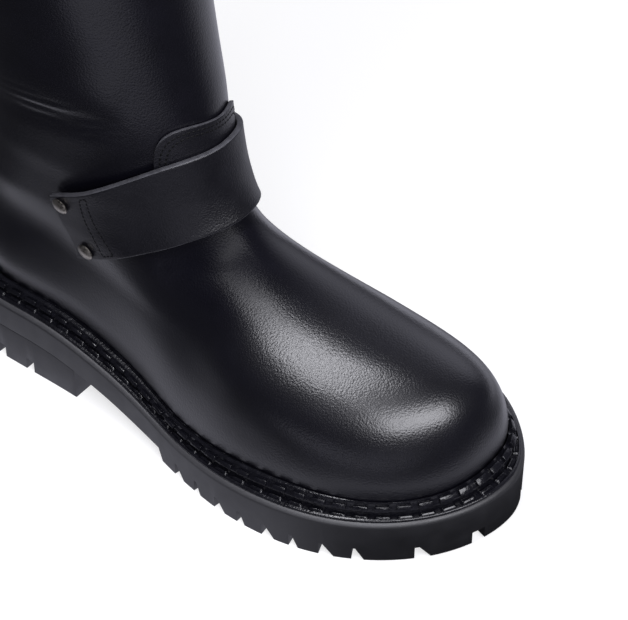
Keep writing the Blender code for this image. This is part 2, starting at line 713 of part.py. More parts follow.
def rivet_mesh():
    """Half profile of a domed rivet head, turned about Z."""
    bm = bmesh.new()
    dome = [(RIVET_RADIUS * math.sin(turn), RIVET_EDGE + RIVET_DOME * math.cos(turn))
            for turn in np.linspace(0.0, 0.5 * math.pi, RIVET_DOME_POINTS)]
    dome[0] = (0.0, RIVET_EDGE + RIVET_DOME)
    profile = dome + [(RIVET_RADIUS, 0.0), (0.0, 0.0)]
    verts = [bm.verts.new((radius, 0.0, height)) for radius, height in profile]
    for first, second in zip(verts[:-1], verts[1:]):
        bm.edges.new((first, second))
    mesh = bpy.data.meshes.new("rivet_profile")
    bm.to_mesh(mesh)
    bm.free()
    return mesh


def build_rivets(collection):
    """Two rivets at each end of the strap."""
    material = make_material("rivet", FINISHES["nickel"])
    for side, direction in (("lateral", 1.0), ("medial", -1.0)):
        for place, share in zip(("low", "high"), RIVET_ACROSS):
            angle = np.array([direction * (strap_end(share) + RIVET_FROM_END)]) % (2.0 * math.pi)
            across = np.array([share])
            axis = strap_normal(angle, across)[0]
            seat = strap_point(angle, across, 0.0)[0] + axis * (STRAP_THICKNESS + RIVET_SEAT) - CENTRE
            mesh = rivet_mesh()
            mesh.materials.append(material)
            rivet = bpy.data.objects.new(f"rivet_{side}_{place}", mesh)
            collection.objects.link(rivet)
            rivet.location = seat
            rivet.rotation_mode = "QUATERNION"
            rivet.rotation_quaternion = Vector(axis).to_track_quat("Z", "Y")
            screw = rivet.modifiers.new("turned", "SCREW")
            screw.steps = RIVET_SIDES
            screw.render_steps = RIVET_SIDES
            screw.use_merge_vertices = True
            screw.merge_threshold = 0.00001


def main():
    clear_scene()
    collection = bpy.data.collections.new("biker_boot")
    bpy.context.scene.collection.children.link(collection)
    build_outsole(collection)
    build_heel(collection)
    build_welt(collection)
    build_insole(collection)
    build_upper(collection)
    build_tab(collection)
    build_strap(collection)
    build_rivets(collection)


main()
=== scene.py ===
"""Looks of the right-foot biker boot: leather, welt, rubber, stitching and studio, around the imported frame.

Metres, +X to the toe, +Y to the inner (medial) side, +Z up, floor at zero. The forms are worked
out heel to toe, x = 0 at the back of the sole, and shifted to the middle of the sole's box.
"""
import math
from collections import namedtuple

import bpy
import numpy as np
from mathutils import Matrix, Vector


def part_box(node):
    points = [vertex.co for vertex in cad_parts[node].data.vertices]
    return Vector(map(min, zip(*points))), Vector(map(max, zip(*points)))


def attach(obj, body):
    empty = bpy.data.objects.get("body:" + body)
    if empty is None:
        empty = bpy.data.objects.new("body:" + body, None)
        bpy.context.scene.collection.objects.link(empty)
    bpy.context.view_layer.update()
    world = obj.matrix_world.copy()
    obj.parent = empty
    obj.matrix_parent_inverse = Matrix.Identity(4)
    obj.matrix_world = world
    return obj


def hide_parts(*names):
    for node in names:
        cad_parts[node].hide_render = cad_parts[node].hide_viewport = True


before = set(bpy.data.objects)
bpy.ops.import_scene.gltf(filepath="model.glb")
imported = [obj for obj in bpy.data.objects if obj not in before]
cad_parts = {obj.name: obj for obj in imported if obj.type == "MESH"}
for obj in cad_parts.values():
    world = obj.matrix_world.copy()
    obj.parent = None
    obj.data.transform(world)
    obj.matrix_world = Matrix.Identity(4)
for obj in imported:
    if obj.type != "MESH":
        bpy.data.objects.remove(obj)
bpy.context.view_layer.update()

bl_info = {
    "name": "Biker boot looks",
    "version": (1, 0, 0),
    "blender": (4, 5, 0),
    "location": "View3D > Sidebar > Boot",
    "description": "Builds the finished pieces of a biker boot around its packed frame",
    "category": "Object",
}

BODY = "root"

# Sole and last
SOLE_LENGTH = 0.263
BALL_WIDTH = 0.106
INSTEP_HEIGHT = 0.096
BOOT_HEIGHT = 0.285
HEEL_LIFT = 0.012
TOE_SPRING = 0.003
TREAD_SPRING = 0.0013
SOLE_THICKNESS = 0.0184
LUG_HEIGHT = 0.006
SEAT_GAP = 0.0003
TOP_DIP = 0.0026
DIP_PLACE = 0.555 * SOLE_LENGTH
DIP_BACK = 0.085 * SOLE_LENGTH
DIP_AHEAD = 0.125 * SOLE_LENGTH
DIP_FADE_RINGS = 5.0
TOE_SWING = 0.04 * SOLE_LENGTH
SWING_START = 0.495 * SOLE_LENGTH
SWING_POWER = 1.6
SPRING_START = 0.692 * SOLE_LENGTH
WAIST_END = 0.54 * SOLE_LENGTH
HEEL_SEAT_END = 0.217 * SOLE_LENGTH
SOLE_NOSE = 0.274 * SOLE_LENGTH
SOLE_NOSE_POWER = 2.0
SOLE_MEDIAL_NOSE_POWER = 1.83
SOLE_TAIL = 0.16 * SOLE_LENGTH
HEEL_BREAST = 0.319 * SOLE_LENGTH
SIDE_LUG_DEPTH = 0.013
CHANNEL_WIDTH = 0.005
LUG_START = 0.506 * SOLE_LENGTH
LUG_PITCH = 0.01175
LUG_LENGTH = 0.0104
LUG_COUNT = 8
LUG_SLANTS = (0.0024, 0.0042)
TOE_LUG_SLANT = 0.003
TOE_LUGS = ((0.863, 0.932), (0.937, 0.983), (0.991, 1.0))
HEEL_LUGS = ((0.0, 0.08), (0.13, 0.29), (0.34, 0.48), (0.53, 0.67), (0.72, 1.0))
LAST_HEEL = 0.038 * SOLE_LENGTH
LAST_TOE = 0.954 * SOLE_LENGTH

# Welt, strap, tab and rivets
WELT_MARGIN = 0.0009
RIM_RING = 1.0
STRAP_TOP_HEIGHT = 0.1395
STRAP_TOP_SLOPE = 0.63
STRAP_TOP_FRONT = 0.1356
STRAP_LOW_HEIGHT = 0.1041
STRAP_LOW_SLOPE = 0.55
STRAP_LOW_FRONT = 0.1443
STRAP_LOW_END = math.radians(71)
STRAP_TOP_END = math.radians(84)
STRAP_TOP_DROP = 0.0033
STRAP_LOW_DROP = 0.0014
STRAP_DROP_START = math.radians(140)
STRAP_DROP_SWEEP = math.radians(40)
STRAP_SEAT = 0.0005
STRAP_OVER_TAB = 0.0004
STRAP_STAND_OFF = 0.0042
STRAP_SETTLE = math.radians(22)
STRAP_EASE = math.radians(20)
STRAP_EASE_STEPS = 15
TAB_STEP = math.radians(26)
TAB_SEAT = 0.0004
TAB_MIDDLE = math.radians(177)
TAB_HALF_ANGLE = math.radians(38)
TAB_TOP_HEIGHT = 0.1445
TAB_DROP = 0.003
TAB_FOOT = 0.12
TAB_CORNER_POWER = 5
TAB_EDGE = 0.985
RIVET_RADIUS = 0.0036
RIVET_SEAT = 0.0006
RIVET_FROM_END = math.radians(7)
RIVET_ACROSS = (0.14, 0.86)

RING_HALVINGS = 40
NUDGE = 1e-3
MERGE = 1e-6
DIRECTION_REACH = 0.35
GRAIN_WAVES = 0.12
GRAIN_WARP = 0.0005

# Half widths of the foot and of the sole, in shares of half the ball width
Width = namedtuple("Width", "along lateral medial")
LAST = (
    Width(0.00, 0.566, 0.566),
    Width(0.15, 0.594, 0.585),
    Width(0.30, 0.585, 0.538),
    Width(0.42, 0.632, 0.509),
    Width(0.55, 0.755, 0.566),
    Width(0.65, 0.830, 0.651),
    Width(0.72, 0.849, 0.691),
    Width(0.80, 0.849, 0.702),
    Width(1.00, 0.858, 0.702),
)
SOLE = (
    Width(0.00, 0.717, 0.717),
    Width(0.15, 0.755, 0.745),
    Width(0.32, 0.764, 0.698),
    Width(0.40, 0.787, 0.679),
    Width(0.50, 0.864, 0.698),
    Width(0.57, 0.953, 0.755),
    Width(0.64, 1.028, 0.830),
    Width(0.70, 1.057, 0.903),
    Width(0.75, 1.057, 0.962),
    Width(0.88, 1.057, 1.056),
    Width(1.00, 1.057, 0.943),
)

# Rings of the upper from feather line to collar, in shares of the sole's length and of half
# the ball width. Levels are 0 on the sole, 1 at the instep height and 2 at the collar.
Ring = namedtuple("Ring", "front front_level back back_level nose tail lateral medial foot swell")
RINGS = (
    Ring(0.956, 0.009, 0.048, 0.009, 0.217, 0.129, 0.755, 0.679, 1.00, 0.010),
    Ring(0.965, 0.113, 0.036, 0.116, 0.221, 0.133, 0.755, 0.679, 1.00, 0.015),
    Ring(0.963, 0.231, 0.027, 0.238, 0.230, 0.141, 0.755, 0.679, 1.00, 0.028),
    Ring(0.952, 0.372, 0.023, 0.360, 0.256, 0.145, 0.755, 0.679, 1.00, 0.010),
    Ring(0.934, 0.494, 0.023, 0.482, 0.308, 0.148, 0.755, 0.679, 0.96, -0.024),
    Ring(0.897, 0.593, 0.025, 0.604, 0.401, 0.152, 0.755, 0.679, 0.90, -0.060),
    Ring(0.834, 0.669, 0.029, 0.726, 0.513, 0.156, 0.755, 0.679, 0.80, -0.085),
    Ring(0.753, 0.729, 0.034, 0.848, 0.570, 0.160, 0.755, 0.679, 0.68, -0.094),
    Ring(0.669, 0.794, 0.040, 0.985, 0.570, 0.167, 0.755, 0.679, 0.54, -0.094),
    Ring(0.597, 0.878, 0.046, 1.042, 0.513, 0.179, 0.736, 0.679, 0.40, -0.094),
    Ring(0.546, 1.000, 0.050, 1.095, 0.437, 0.190, 0.717, 0.698, 0.27, -0.075),
    Ring(0.517, 1.069, 0.051, 1.153, 0.361, 0.202, 0.717, 0.717, 0.15, -0.075),
    Ring(0.501, 1.153, 0.050, 1.222, 0.304, 0.213, 0.717, 0.717, 0.06, -0.075),
    Ring(0.490, 1.249, 0.046, 1.302, 0.262, 0.217, 0.736, 0.736, 0.00, 0.000),
    Ring(0.473, 1.354, 0.038, 1.397, 0.236, 0.217, 0.764, 0.764, 0.00, 0.000),
    Ring(0.456, 1.476, 0.029, 1.508, 0.224, 0.217, 0.802, 0.802, 0.00, 0.000),
    Ring(0.441, 1.619, 0.019, 1.640, 0.217, 0.217, 0.840, 0.840, 0.00, 0.000),
    Ring(0.428, 1.794, 0.008, 1.804, 0.213, 0.213, 0.877, 0.877, 0.00, 0.000),
    Ring(0.418, 2.000, 0.002, 2.000, 0.209, 0.209, 0.906, 0.906, 0.00, 0.000),
)
TOP_RING = len(RINGS) - 1.0
TOE_BLUNTNESS = 0.34
Swell = namedtuple("Swell", "height ring ring_spread along along_spread")
FLANK = (
    Swell(-0.0053, 6.9, 3.35, 0.543, 0.069),
    Swell(0.0012, 1.0, 2.00, 0.660, 0.200),
    Swell(0.0013, 0.7, 0.90, 0.620, 0.300),
    Swell(-0.0004, 2.3, 0.90, 0.720, 0.120),
    Swell(-0.0015, 2.2, 1.75, 0.428, 0.140),
)
MEDIAL_FLANK = (
    Swell(-0.0022, 6.1, 3.00, 0.800, 0.200),
)
FLANK_TOP_RING = 8.0
FLANK_TOP_FADE = 3.0

# Creases of the shaft and vamp: from one place to another by angle round the boot and height
# over the floor, bowed up in the middle, with their depth (a ridge is negative) and width.
Crease = namedtuple("Crease", "angle height end_angle end_height bow depth width")
CREASES = (
    Crease(62, 0.156, 136, 0.158, 0.003, -0.0010, 0.0100),
    Crease(60, 0.139, 134, 0.146, 0.000, 0.0009, 0.0060),
    Crease(76, 0.1520, 104, 0.1545, 0.001, 0.00030, 0.0011),
    Crease(78, 0.1490, 114, 0.1520, 0.001, 0.00040, 0.0012),
    Crease(86, 0.1468, 124, 0.1500, -0.001, 0.00042, 0.0013),
    Crease(74, 0.1448, 108, 0.1470, 0.001, 0.00036, 0.0011),
    Crease(94, 0.1436, 132, 0.1480, 0.0005, 0.00040, 0.0012),
    Crease(82, 0.1418, 116, 0.1445, -0.0005, 0.00034, 0.0010),
    Crease(104, 0.1405, 132, 0.1445, 0.0, 0.00030, 0.0010),
    Crease(108, 0.1375, 130, 0.1405, 0.0, 0.00028, 0.0010),
    Crease(104, 0.0800, 172, 0.0900, 0.0025, 0.0010, 0.0080),
    Crease(101, 0.0805, 116, 0.0862, 0.0004, 0.00030, 0.0009),
    Crease(104, 0.0795, 120, 0.0866, 0.0004, 0.00034, 0.0009),
    Crease(108, 0.0795, 124, 0.0872, 0.0004, 0.00034, 0.0009),
    Crease(112, 0.0800, 127, 0.0876, 0.0004, 0.00032, 0.0009),
    Crease(116, 0.0808, 130, 0.0880, 0.0004, 0.00028, 0.0009),
    Crease(232, 0.149, 286, 0.147, 0.001, 0.00034, 0.0012),
    Crease(240, 0.1445, 280, 0.143, -0.001, 0.00034, 0.0012),
    Crease(226, 0.158, 296, 0.156, 0.003, -0.0009, 0.0100),
    Crease(228, 0.146, 298, 0.139, 0.000, 0.0008, 0.0060),
)


# Cross-section of the welt from its outer foot to the upper. The place across is a share of the way
# from the sole's edge (0) to the upper (1), on the flanks and at the toe. Heights go from the sole's top
# (0) to the rim's top (1), and lift adds to them.
Section = namedtuple("Section", "flank toe height lift")
WELT_SECTION = (
    Section(0.100, 0.100, 0.00, 0.0002),
    Section(0.100, 0.100, 0.00, 0.0010),
    Section(0.105, 0.105, 0.00, 0.0015),
    Section(0.125, 0.125, 0.00, 0.0018),
    Section(0.190, 0.180, 0.00, 0.0020),
    Section(0.270, 0.250, 0.00, 0.0022),
    Section(0.285, 0.265, 0.00, 0.0021),
    Section(0.295, 0.275, 0.00, 0.0012),
    Section(0.430, 0.450, 0.00, 0.0012),
    Section(0.565, 0.630, 0.00, 0.0012),
    Section(0.580, 0.650, 0.08, 0.0012),
    Section(0.590, 0.645, 0.48, 0.0000),
    Section(0.600, 0.655, 0.55, 0.0000),
    Section(0.615, 0.670, 0.58, 0.0000),
    Section(0.700, 0.835, 0.69, 0.0000),
    Section(0.775, 0.980, 0.79, 0.0000),
    Section(0.780, 0.982, 0.84, 0.0000),
    Section(0.810, 0.988, 0.87, 0.0000),
    Section(0.900, 0.990, 0.91, 0.0000),
    Section(1.000, 1.000, 0.93, 0.0000),
)
CHANNEL_ROWS = (7.0, 9.0)
BLOCK_ROWS = (13.0, 14.7)
TOE_SPREAD = math.radians(48)
TOE_LOWERED = 0.0003
TOE_RIM_RISE = 0.16
WAIST_ANGLE = math.radians(76)
WAIST_SPREAD = math.radians(24)
WAIST_RIM_FALL = 0.24
LIP_HEIGHT = 0.0012
LIP_WIDTH = 0.0030


def blend(low, high, share):
    return low + (high - low) * share


def unit(vectors):
    """Vectors of length one in the same directions."""
    return vectors / np.linalg.norm(vectors, axis=-1, keepdims=True)


def columns_at(at, run, table, period=None):
    """Columns of a table interpolated side by side."""
    return np.stack([np.interp(at, run, column, period=period) for column in table.T], axis=-1)


def smooth_step(share):
    """Eases from 0 to 1 while the share goes from 0 to 1."""
    share = np.clip(share, 0.0, 1.0)
    return share * share * (3.0 - 2.0 * share)


def through(knots, values, at):
    """Smooth curve through a table's column, with slopes weighted by the spacing."""
    knots = np.asarray(knots, float)
    values = np.asarray(values, float)
    step = np.diff(knots)
    slope = np.diff(values) / step
    tangent = np.empty_like(values)
    tangent[0] = slope[0]
    tangent[-1] = slope[-1]
    tangent[1:-1] = (slope[:-1] * step[1:] + slope[1:] * step[:-1]) / (step[1:] + step[:-1])
    at = np.clip(at, knots[0], knots[-1])
    i = np.clip(np.searchsorted(knots, at, side="right") - 1, 0, len(step) - 1)
    t = (at - knots[i]) / step[i]
    rise = values[i + 1] - values[i]
    start_bend = step[i] * tangent[i]
    end_bend = step[i] * tangent[i + 1]
    return (values[i] + rise * t * t * (3.0 - 2.0 * t)
            + start_bend * t * (1.0 - t) ** 2 - end_bend * t * t * (1.0 - t))


def sole_lift(x, toe_spring=TOE_SPRING):
    """Height over the floor that the toe spring in front and the heel lift behind give."""
    spring = np.clip((x - SPRING_START) / (SOLE_LENGTH - SPRING_START), 0.0, 1.0)
    seat = smooth_step((WAIST_END - x) / (WAIST_END - HEEL_SEAT_END))
    return toe_spring * spring ** 2 + HEEL_LIFT * seat


def top_dip(x):
    """Depth by which the sole's top and the foot of the upper sink behind the ball."""
    spread = np.where(x < DIP_PLACE, DIP_BACK, DIP_AHEAD)
    return TOP_DIP * np.exp(-((x - DIP_PLACE) / spread) ** 2)


def sole_top(x):
    """Height of the outsole's top, on which welt and upper sit."""
    return sole_lift(x) + SOLE_THICKNESS - top_dip(x)


def tread_line(x):
    """Height of the tread, from which the lugs stand down."""
    return sole_lift(x, TREAD_SPRING) + LUG_HEIGHT


def foot_axis(x):
    """Sideways place of the foot's axis, which swings inwards towards the toe."""
    share = np.clip((x - SWING_START) / (LAST_TOE - SWING_START), 0.0, 1.1)
    return TOE_SWING * share ** SWING_POWER


def side_of(angle):
    """-1 on the lateral side and 1 on the medial side; the angle runs heel, lateral, toe."""
    return np.where(np.sin(angle) >= 0.0, -1.0, 1.0)


def rounded(share, power):
    """Quarter of a rounded end: 0 at its tip, 1 where the full width is reached."""
    share = np.clip(share, 0.0, 1.0)
    return np.clip(1.0 - (1.0 - share) ** power, 0.0, 1.0) ** (1.0 / power)


def table_half_width(table, share, side):
    """Half width on one side, from a table along the foot."""
    along = [row.along for row in table]
    lateral = through(along, [row.lateral for row in table], share)
    medial = through(along, [row.medial for row in table], share)
    return 0.5 * BALL_WIDTH * np.where(side < 0.0, lateral, medial)


def sole_edge(angle):
    """Plan outline of the sole, an array of x and y."""
    x = SOLE_LENGTH * (0.5 - 0.5 * np.cos(angle))
    side = side_of(angle)
    half = table_half_width(SOLE, x / SOLE_LENGTH, side)
    nose_power = np.where(side < 0.0, SOLE_NOSE_POWER, SOLE_MEDIAL_NOSE_POWER)
    half = half * rounded((SOLE_LENGTH - x) / SOLE_NOSE, nose_power) * rounded(x / SOLE_TAIL, 2.0)
    return np.stack([x, side * half + foot_axis(x)], axis=-1)


def edge_place(x, side):
    """Sideways place of the sole's edge at x, on the lateral (-1) or medial (1) side."""
    angle = np.arccos(1.0 - 2.0 * np.clip(x / SOLE_LENGTH, 0.0, 1.0))
    return sole_edge(np.where(side < 0.0, angle, 2.0 * math.pi - angle))[..., 1]


def level_height(level, x):
    """Height of a ring's end: 0 on the sole, 1 at the instep height, 2 at the collar."""
    base = sole_top(x)
    if level <= 1.0:
        return base + level * (INSTEP_HEIGHT - base)
    return INSTEP_HEIGHT + (level - 1.0) * (BOOT_HEIGHT - INSTEP_HEIGHT)


RING_NUMBERS = np.arange(len(RINGS))
ROUND = np.linspace(0.0, 2.0 * math.pi, 1441)[:-1]
FRONT_HEIGHTS = [level_height(row.front_level, row.front * SOLE_LENGTH) for row in RINGS]
BACK_HEIGHTS = [level_height(row.back_level, row.back * SOLE_LENGTH) for row in RINGS]


def flank_swell(ring, x, swells):
    """Height of a flank's swells, which fade out under the strap."""
    fade = 1.0 - smooth_step((ring - FLANK_TOP_RING) / FLANK_TOP_FADE)
    total = 0.0
    for swell in swells:
        up = (ring - swell.ring) / swell.ring_spread
        ahead = (x / SOLE_LENGTH - swell.along) / swell.along_spread
        total = total + swell.height * np.exp(-up ** 2 - ahead ** 2)
    return fade * total


def upper_point(ring, angle):
    """Point of the upper's outer face at a ring number and an angle round the boot."""
    row = Ring(*(through(RING_NUMBERS, column, ring) for column in zip(*RINGS)))
    front = row.front * SOLE_LENGTH
    back = row.back * SOLE_LENGTH
    share = 0.5 - 0.5 * np.cos(angle)
    x = blend(back, front, share)
    side = side_of(angle)
    along = (x - LAST_HEEL) / (LAST_TOE - LAST_HEEL)
    foot = table_half_width(LAST, along, side) + row.swell * 0.5 * BALL_WIDTH
    oval = 0.5 * BALL_WIDTH * np.where(side < 0.0, row.lateral, row.medial)
    half = row.foot * foot + (1.0 - row.foot) * oval
    half = half + np.where(side < 0.0, flank_swell(ring, x, FLANK), flank_swell(ring, x, MEDIAL_FLANK))
    half = half * rounded((front - x) / (row.nose * SOLE_LENGTH), 2.0 + TOE_BLUNTNESS * row.foot)
    half = half * rounded((x - back) / (row.tail * SOLE_LENGTH), 2.0)
    back_height = through(RING_NUMBERS, BACK_HEIGHTS, ring)
    front_height = through(RING_NUMBERS, FRONT_HEIGHTS, ring)
    straight_lift = blend(sole_lift(back), sole_lift(front), share)
    height = blend(back_height, front_height, share)
    height = height + row.foot * (sole_lift(x) - straight_lift)
    height = height - top_dip(x) * (1.0 - smooth_step((ring - RIM_RING) / DIP_FADE_RINGS))
    y = side * half + row.foot * foot_axis(x)
    return np.stack(np.broadcast_arrays(x, y, height), axis=-1)


def crossed(ahead, behind, above, below):
    """Unit normal from four points round a place."""
    return unit(np.cross(ahead - behind, above - below))


def upper_normal(ring, angle):
    """Outward unit normal of the upper's outer face."""
    return crossed(upper_point(ring, angle + NUDGE), upper_point(ring, angle - NUDGE),
                   upper_point(np.minimum(ring + NUDGE, TOP_RING), angle),
                   upper_point(np.maximum(ring - NUDGE, 0.0), angle))


def upper_offset(ring, angle, out):
    """Point at a distance out from the upper's outer face."""
    ring, angle = np.broadcast_arrays(np.asarray(ring, float), np.asarray(angle, float))
    return upper_point(ring, angle) + upper_normal(ring, angle) * np.asarray(out)[..., None]


def ring_at(angle, height, slope=0.0, front=0.0):
    """Ring number where the upper crosses the tilted plane z = height + slope (x - front)."""
    low = np.zeros_like(angle)
    high = np.full_like(angle, TOP_RING)
    for _ in range(RING_HALVINGS):
        middle = 0.5 * (low + high)
        point = upper_point(middle, angle)
        under = point[..., 2] < height + slope * (point[..., 0] - front)
        low = np.where(under, middle, low)
        high = np.where(under, high, middle)
    return 0.5 * (low + high)


def strap_end(across):
    """Angle of the strap's lateral end, slanting back from the upper to the lower edge."""
    return blend(STRAP_LOW_END, STRAP_TOP_END, across)


def strap_ring(angle, across):
    """Ring number under the strap: across is 0 at its lower edge and 1 at its upper edge."""
    height = blend(STRAP_LOW_HEIGHT, STRAP_TOP_HEIGHT, across)
    drop = blend(STRAP_LOW_DROP, STRAP_TOP_DROP, across)
    height = height - drop * smooth_step((angle - STRAP_DROP_START) / STRAP_DROP_SWEEP)
    slope = blend(STRAP_LOW_SLOPE, STRAP_TOP_SLOPE, across)
    front = blend(STRAP_LOW_FRONT, STRAP_TOP_FRONT, across)
    return ring_at(angle, height, slope, front)


def strap_gap(angle, across):
    """Gap under the strap: over the tab in front, standing off above at the sides, snug at the ends."""
    beyond_tab = np.abs(angle - TAB_MIDDLE) - TAB_HALF_ANGLE
    tab_gap = TAB_SEAT + boot().tab_thickness + STRAP_OVER_TAB
    over_tab = tab_gap * (1.0 - smooth_step(beyond_tab / TAB_STEP))
    from_end = math.pi - strap_end(across) - np.abs(angle - math.pi)
    stand_off = STRAP_STAND_OFF * across * smooth_step(beyond_tab / TAB_HALF_ANGLE)
    return np.maximum(over_tab, STRAP_SEAT + stand_off * smooth_step(from_end / STRAP_SETTLE))


def strap_point(angle, across):
    """Point of the strap's inner face, with the gap eased along its length."""
    turns = np.linspace(-1.0, 1.0, STRAP_EASE_STEPS)
    weights = (1.0 - turns ** 2) / np.sum(1.0 - turns ** 2)
    gap = sum(weight * strap_gap(angle + turn * STRAP_EASE, across) for turn, weight in zip(turns, weights))
    return upper_offset(strap_ring(angle, across), angle, gap)


def strap_normal(angle, across):
    """Outward unit normal of the strap."""
    return crossed(strap_point(angle + NUDGE, across), strap_point(angle - NUDGE, across),
                   strap_point(angle, across + NUDGE), strap_point(angle, across - NUDGE))


def tab_crest(across, angle):
    """Ring numbers of the tab's foot and of its rounded top."""
    foot = strap_ring(angle, np.full_like(angle, TAB_FOOT))
    height = TAB_TOP_HEIGHT - TAB_DROP * smooth_step((angle - TAB_MIDDLE) / TAB_HALF_ANGLE + 0.5)
    top = ring_at(angle, height)
    rise = (1.0 - np.abs(across) ** TAB_CORNER_POWER) ** (1.0 / TAB_CORNER_POWER)
    return foot, foot + (top - foot) * rise


def plan_ring(stations):
    """Plan outline through the given x places, lateral side heel to toe, then back on the medial side."""
    angle = np.arccos(1.0 - 2.0 * np.asarray(stations) / SOLE_LENGTH)
    return sole_edge(np.concatenate([angle, 2.0 * math.pi - angle[::-1]]))


def inset_ring(outline, distance):
    """Plan outline moved inwards along its own normals."""
    tangent = np.roll(outline, -1, axis=0) - np.roll(outline, 1, axis=0)
    return outline + unit(np.stack([-tangent[:, 1], tangent[:, 0]], axis=-1)) * distance


def sole_centre():
    """Middle of the sole's box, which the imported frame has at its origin."""
    outsole_low, outsole_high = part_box("outsole")
    outline = sole_edge(np.linspace(0.0, 2.0 * math.pi, 721))
    middle = 0.5 * (outline.min(axis=0) + outline.max(axis=0))
    packed = 0.5 * (np.array(outsole_low) + np.array(outsole_high))
    return np.array([middle[0] - packed[0], middle[1] - packed[1], 0.0])


CENTRE = sole_centre()


def boot():
    return bpy.context.scene.boot_sizes


def finish():
    return bpy.context.scene.boot_finish


def studio():
    return bpy.context.scene.boot_studio


def deselect():
    if bpy.context.object is not None and bpy.context.object.mode != "OBJECT":
        bpy.ops.object.mode_set(mode="OBJECT")
    bpy.ops.object.select_all(action="DESELECT")


def activate(piece):
    deselect()
    piece.select_set(True)
    bpy.context.view_layer.objects.active = piece


def edit(piece, kind):
    """Edit mode on one piece, with the faces, edges or vertices that were chosen in code."""
    activate(piece)
    bpy.context.tool_settings.mesh_select_mode = (kind == "VERT", kind == "EDGE", kind == "FACE")
    bpy.ops.object.mode_set(mode="EDIT")


def edited():
    bpy.ops.object.mode_set(mode="OBJECT")


def choose_faces(piece, chosen):
    """Selects faces by a mask, and nothing else."""
    mesh = piece.data
    mesh.vertices.foreach_set("select", np.zeros(len(mesh.vertices), bool))
    mesh.edges.foreach_set("select", np.zeros(len(mesh.edges), bool))
    mesh.polygons.foreach_set("select", np.asarray(chosen, bool))


def face_normals(piece):
    normals = np.empty(len(piece.data.polygons) * 3)
    piece.data.polygons.foreach_get("normal", normals)
    return normals.reshape(-1, 3)


def points_of(piece):
    points = np.empty(len(piece.data.vertices) * 3)
    piece.data.vertices.foreach_get("co", points)
    return points.reshape(-1, 3)


def put_points(piece, points):
    piece.data.vertices.foreach_set("co", np.ascontiguousarray(points).ravel())
    piece.data.update()


def wrapped_grid(name, columns, rows, place, mark=None):
    """Sheet made from a grid primitive, marked while flat, each point laid where place(across, up) says."""
    deselect()
    bpy.ops.mesh.primitive_grid_add(x_subdivisions=columns, y_subdivisions=rows, size=2.0)
    piece = bpy.context.object
    piece.name = name
    piece.data.name = name
    if mark is not None:
        mark(piece)
    flat = points_of(piece)
    across = 0.5 + 0.5 * flat[:, 0]
    up = 0.5 + 0.5 * flat[:, 1]
    put_points(piece, place(across, up) - CENTRE)
    return piece


def merge(piece):
    """Closes seams and poles, and turns all faces outwards."""
    edit(piece, "VERT")
    bpy.ops.mesh.select_all(action="SELECT")
    bpy.ops.mesh.remove_doubles(threshold=MERGE)
    bpy.ops.mesh.normals_make_consistent(inside=False)
    edited()


def apply_modifier(piece, kind, **settings):
    activate(piece)
    modifier = piece.modifiers.new(kind.lower(), kind)
    for key, value in settings.items():
        setattr(modifier, key, value)
    bpy.ops.object.modifier_apply(modifier=modifier.name)


def thicken(piece, thickness, offset, inner_slot, rim_slot):
    """Wall on an open sheet: offset -1 grows inwards and 1 outwards."""
    apply_modifier(piece, "SOLIDIFY", thickness=thickness, offset=offset, use_even_offset=True,
                   material_offset=inner_slot, material_offset_rim=rim_slot)


def round_edges(piece, width, segments, sharpness):
    """Bevels all edges that are sharper than the angle in degrees."""
    edit(piece, "EDGE")
    bpy.ops.mesh.select_all(action="DESELECT")
    bpy.ops.mesh.edges_select_sharp(sharpness=math.radians(sharpness))
    bpy.ops.mesh.bevel(offset=width, segments=segments, affect="EDGES", clamp_overlap=True)
    edited()


def smooth(piece, angle):
    """Smooth shading, with edges kept where faces meet at more than the angle in degrees."""
    activate(piece)
    bpy.ops.object.shade_smooth_by_angle(angle=math.radians(angle))


def hand_over(piece, slot, *nodes):
    """Rides the piece on the boot, in place of its CAD nodes."""
    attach(piece, BODY)
    if nodes:
        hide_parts(*nodes)


def joined_copies(name, seed, origins, axes, scales):
    """One mesh of many copies of a seed piece, which is then removed; axes are each copy's X, Y and Z."""
    points = points_of(seed)
    faces = [tuple(face.vertices) for face in seed.data.polygons]
    placed = origins[:, None, :] + np.einsum("vk,nk,nkj->nvj", points, scales, axes)
    count = len(points)
    all_faces = [tuple(copy * count + v for v in face) for copy in range(len(origins)) for face in faces]
    mesh = bpy.data.meshes.new(name)
    mesh.from_pydata(placed.reshape(-1, 3) - CENTRE, [], all_faces)
    mesh.update()
    bpy.data.objects.remove(seed, do_unlink=True)
    piece = bpy.data.objects.new(name, mesh)
    bpy.context.scene.collection.objects.link(piece)
    return piece


def even_places(path, pitch, closed):
    """Points, directions and numbers of even steps along a path."""
    if closed:
        path = np.vstack([path, path[:1]])
    step = np.linalg.norm(np.diff(path, axis=0), axis=1)
    run = np.concatenate([[0.0], np.cumsum(step)])
    count = max(int(round(run[-1] / pitch)), 1)
    at = (np.arange(count) + 0.5) * run[-1] / count
    reach = DIRECTION_REACH * pitch
    direction = unit(columns_at(at + reach, run, path) - columns_at(at - reach, run, path))
    return columns_at(at, run, path), direction, at / run[-1]


def standing_axes(direction, normal):
    """Axes with X along a direction and Z near a normal."""
    up = unit(normal - direction * np.sum(normal * direction, axis=1, keepdims=True))
    return np.stack([direction, np.cross(up, direction), up], axis=1)


def add_node(tree, kind, inputs=None, **settings):
    """Node with its settings, and with inputs that are set to values or linked to sockets."""
    node = tree.nodes.new(kind)
    for key, value in settings.items():
        setattr(node, key, value)
    for key, value in (inputs or {}).items():
        if isinstance(value, bpy.types.NodeSocket):
            tree.links.new(value, node.inputs[key])
        else:
            node.inputs[key].default_value = value
    return node


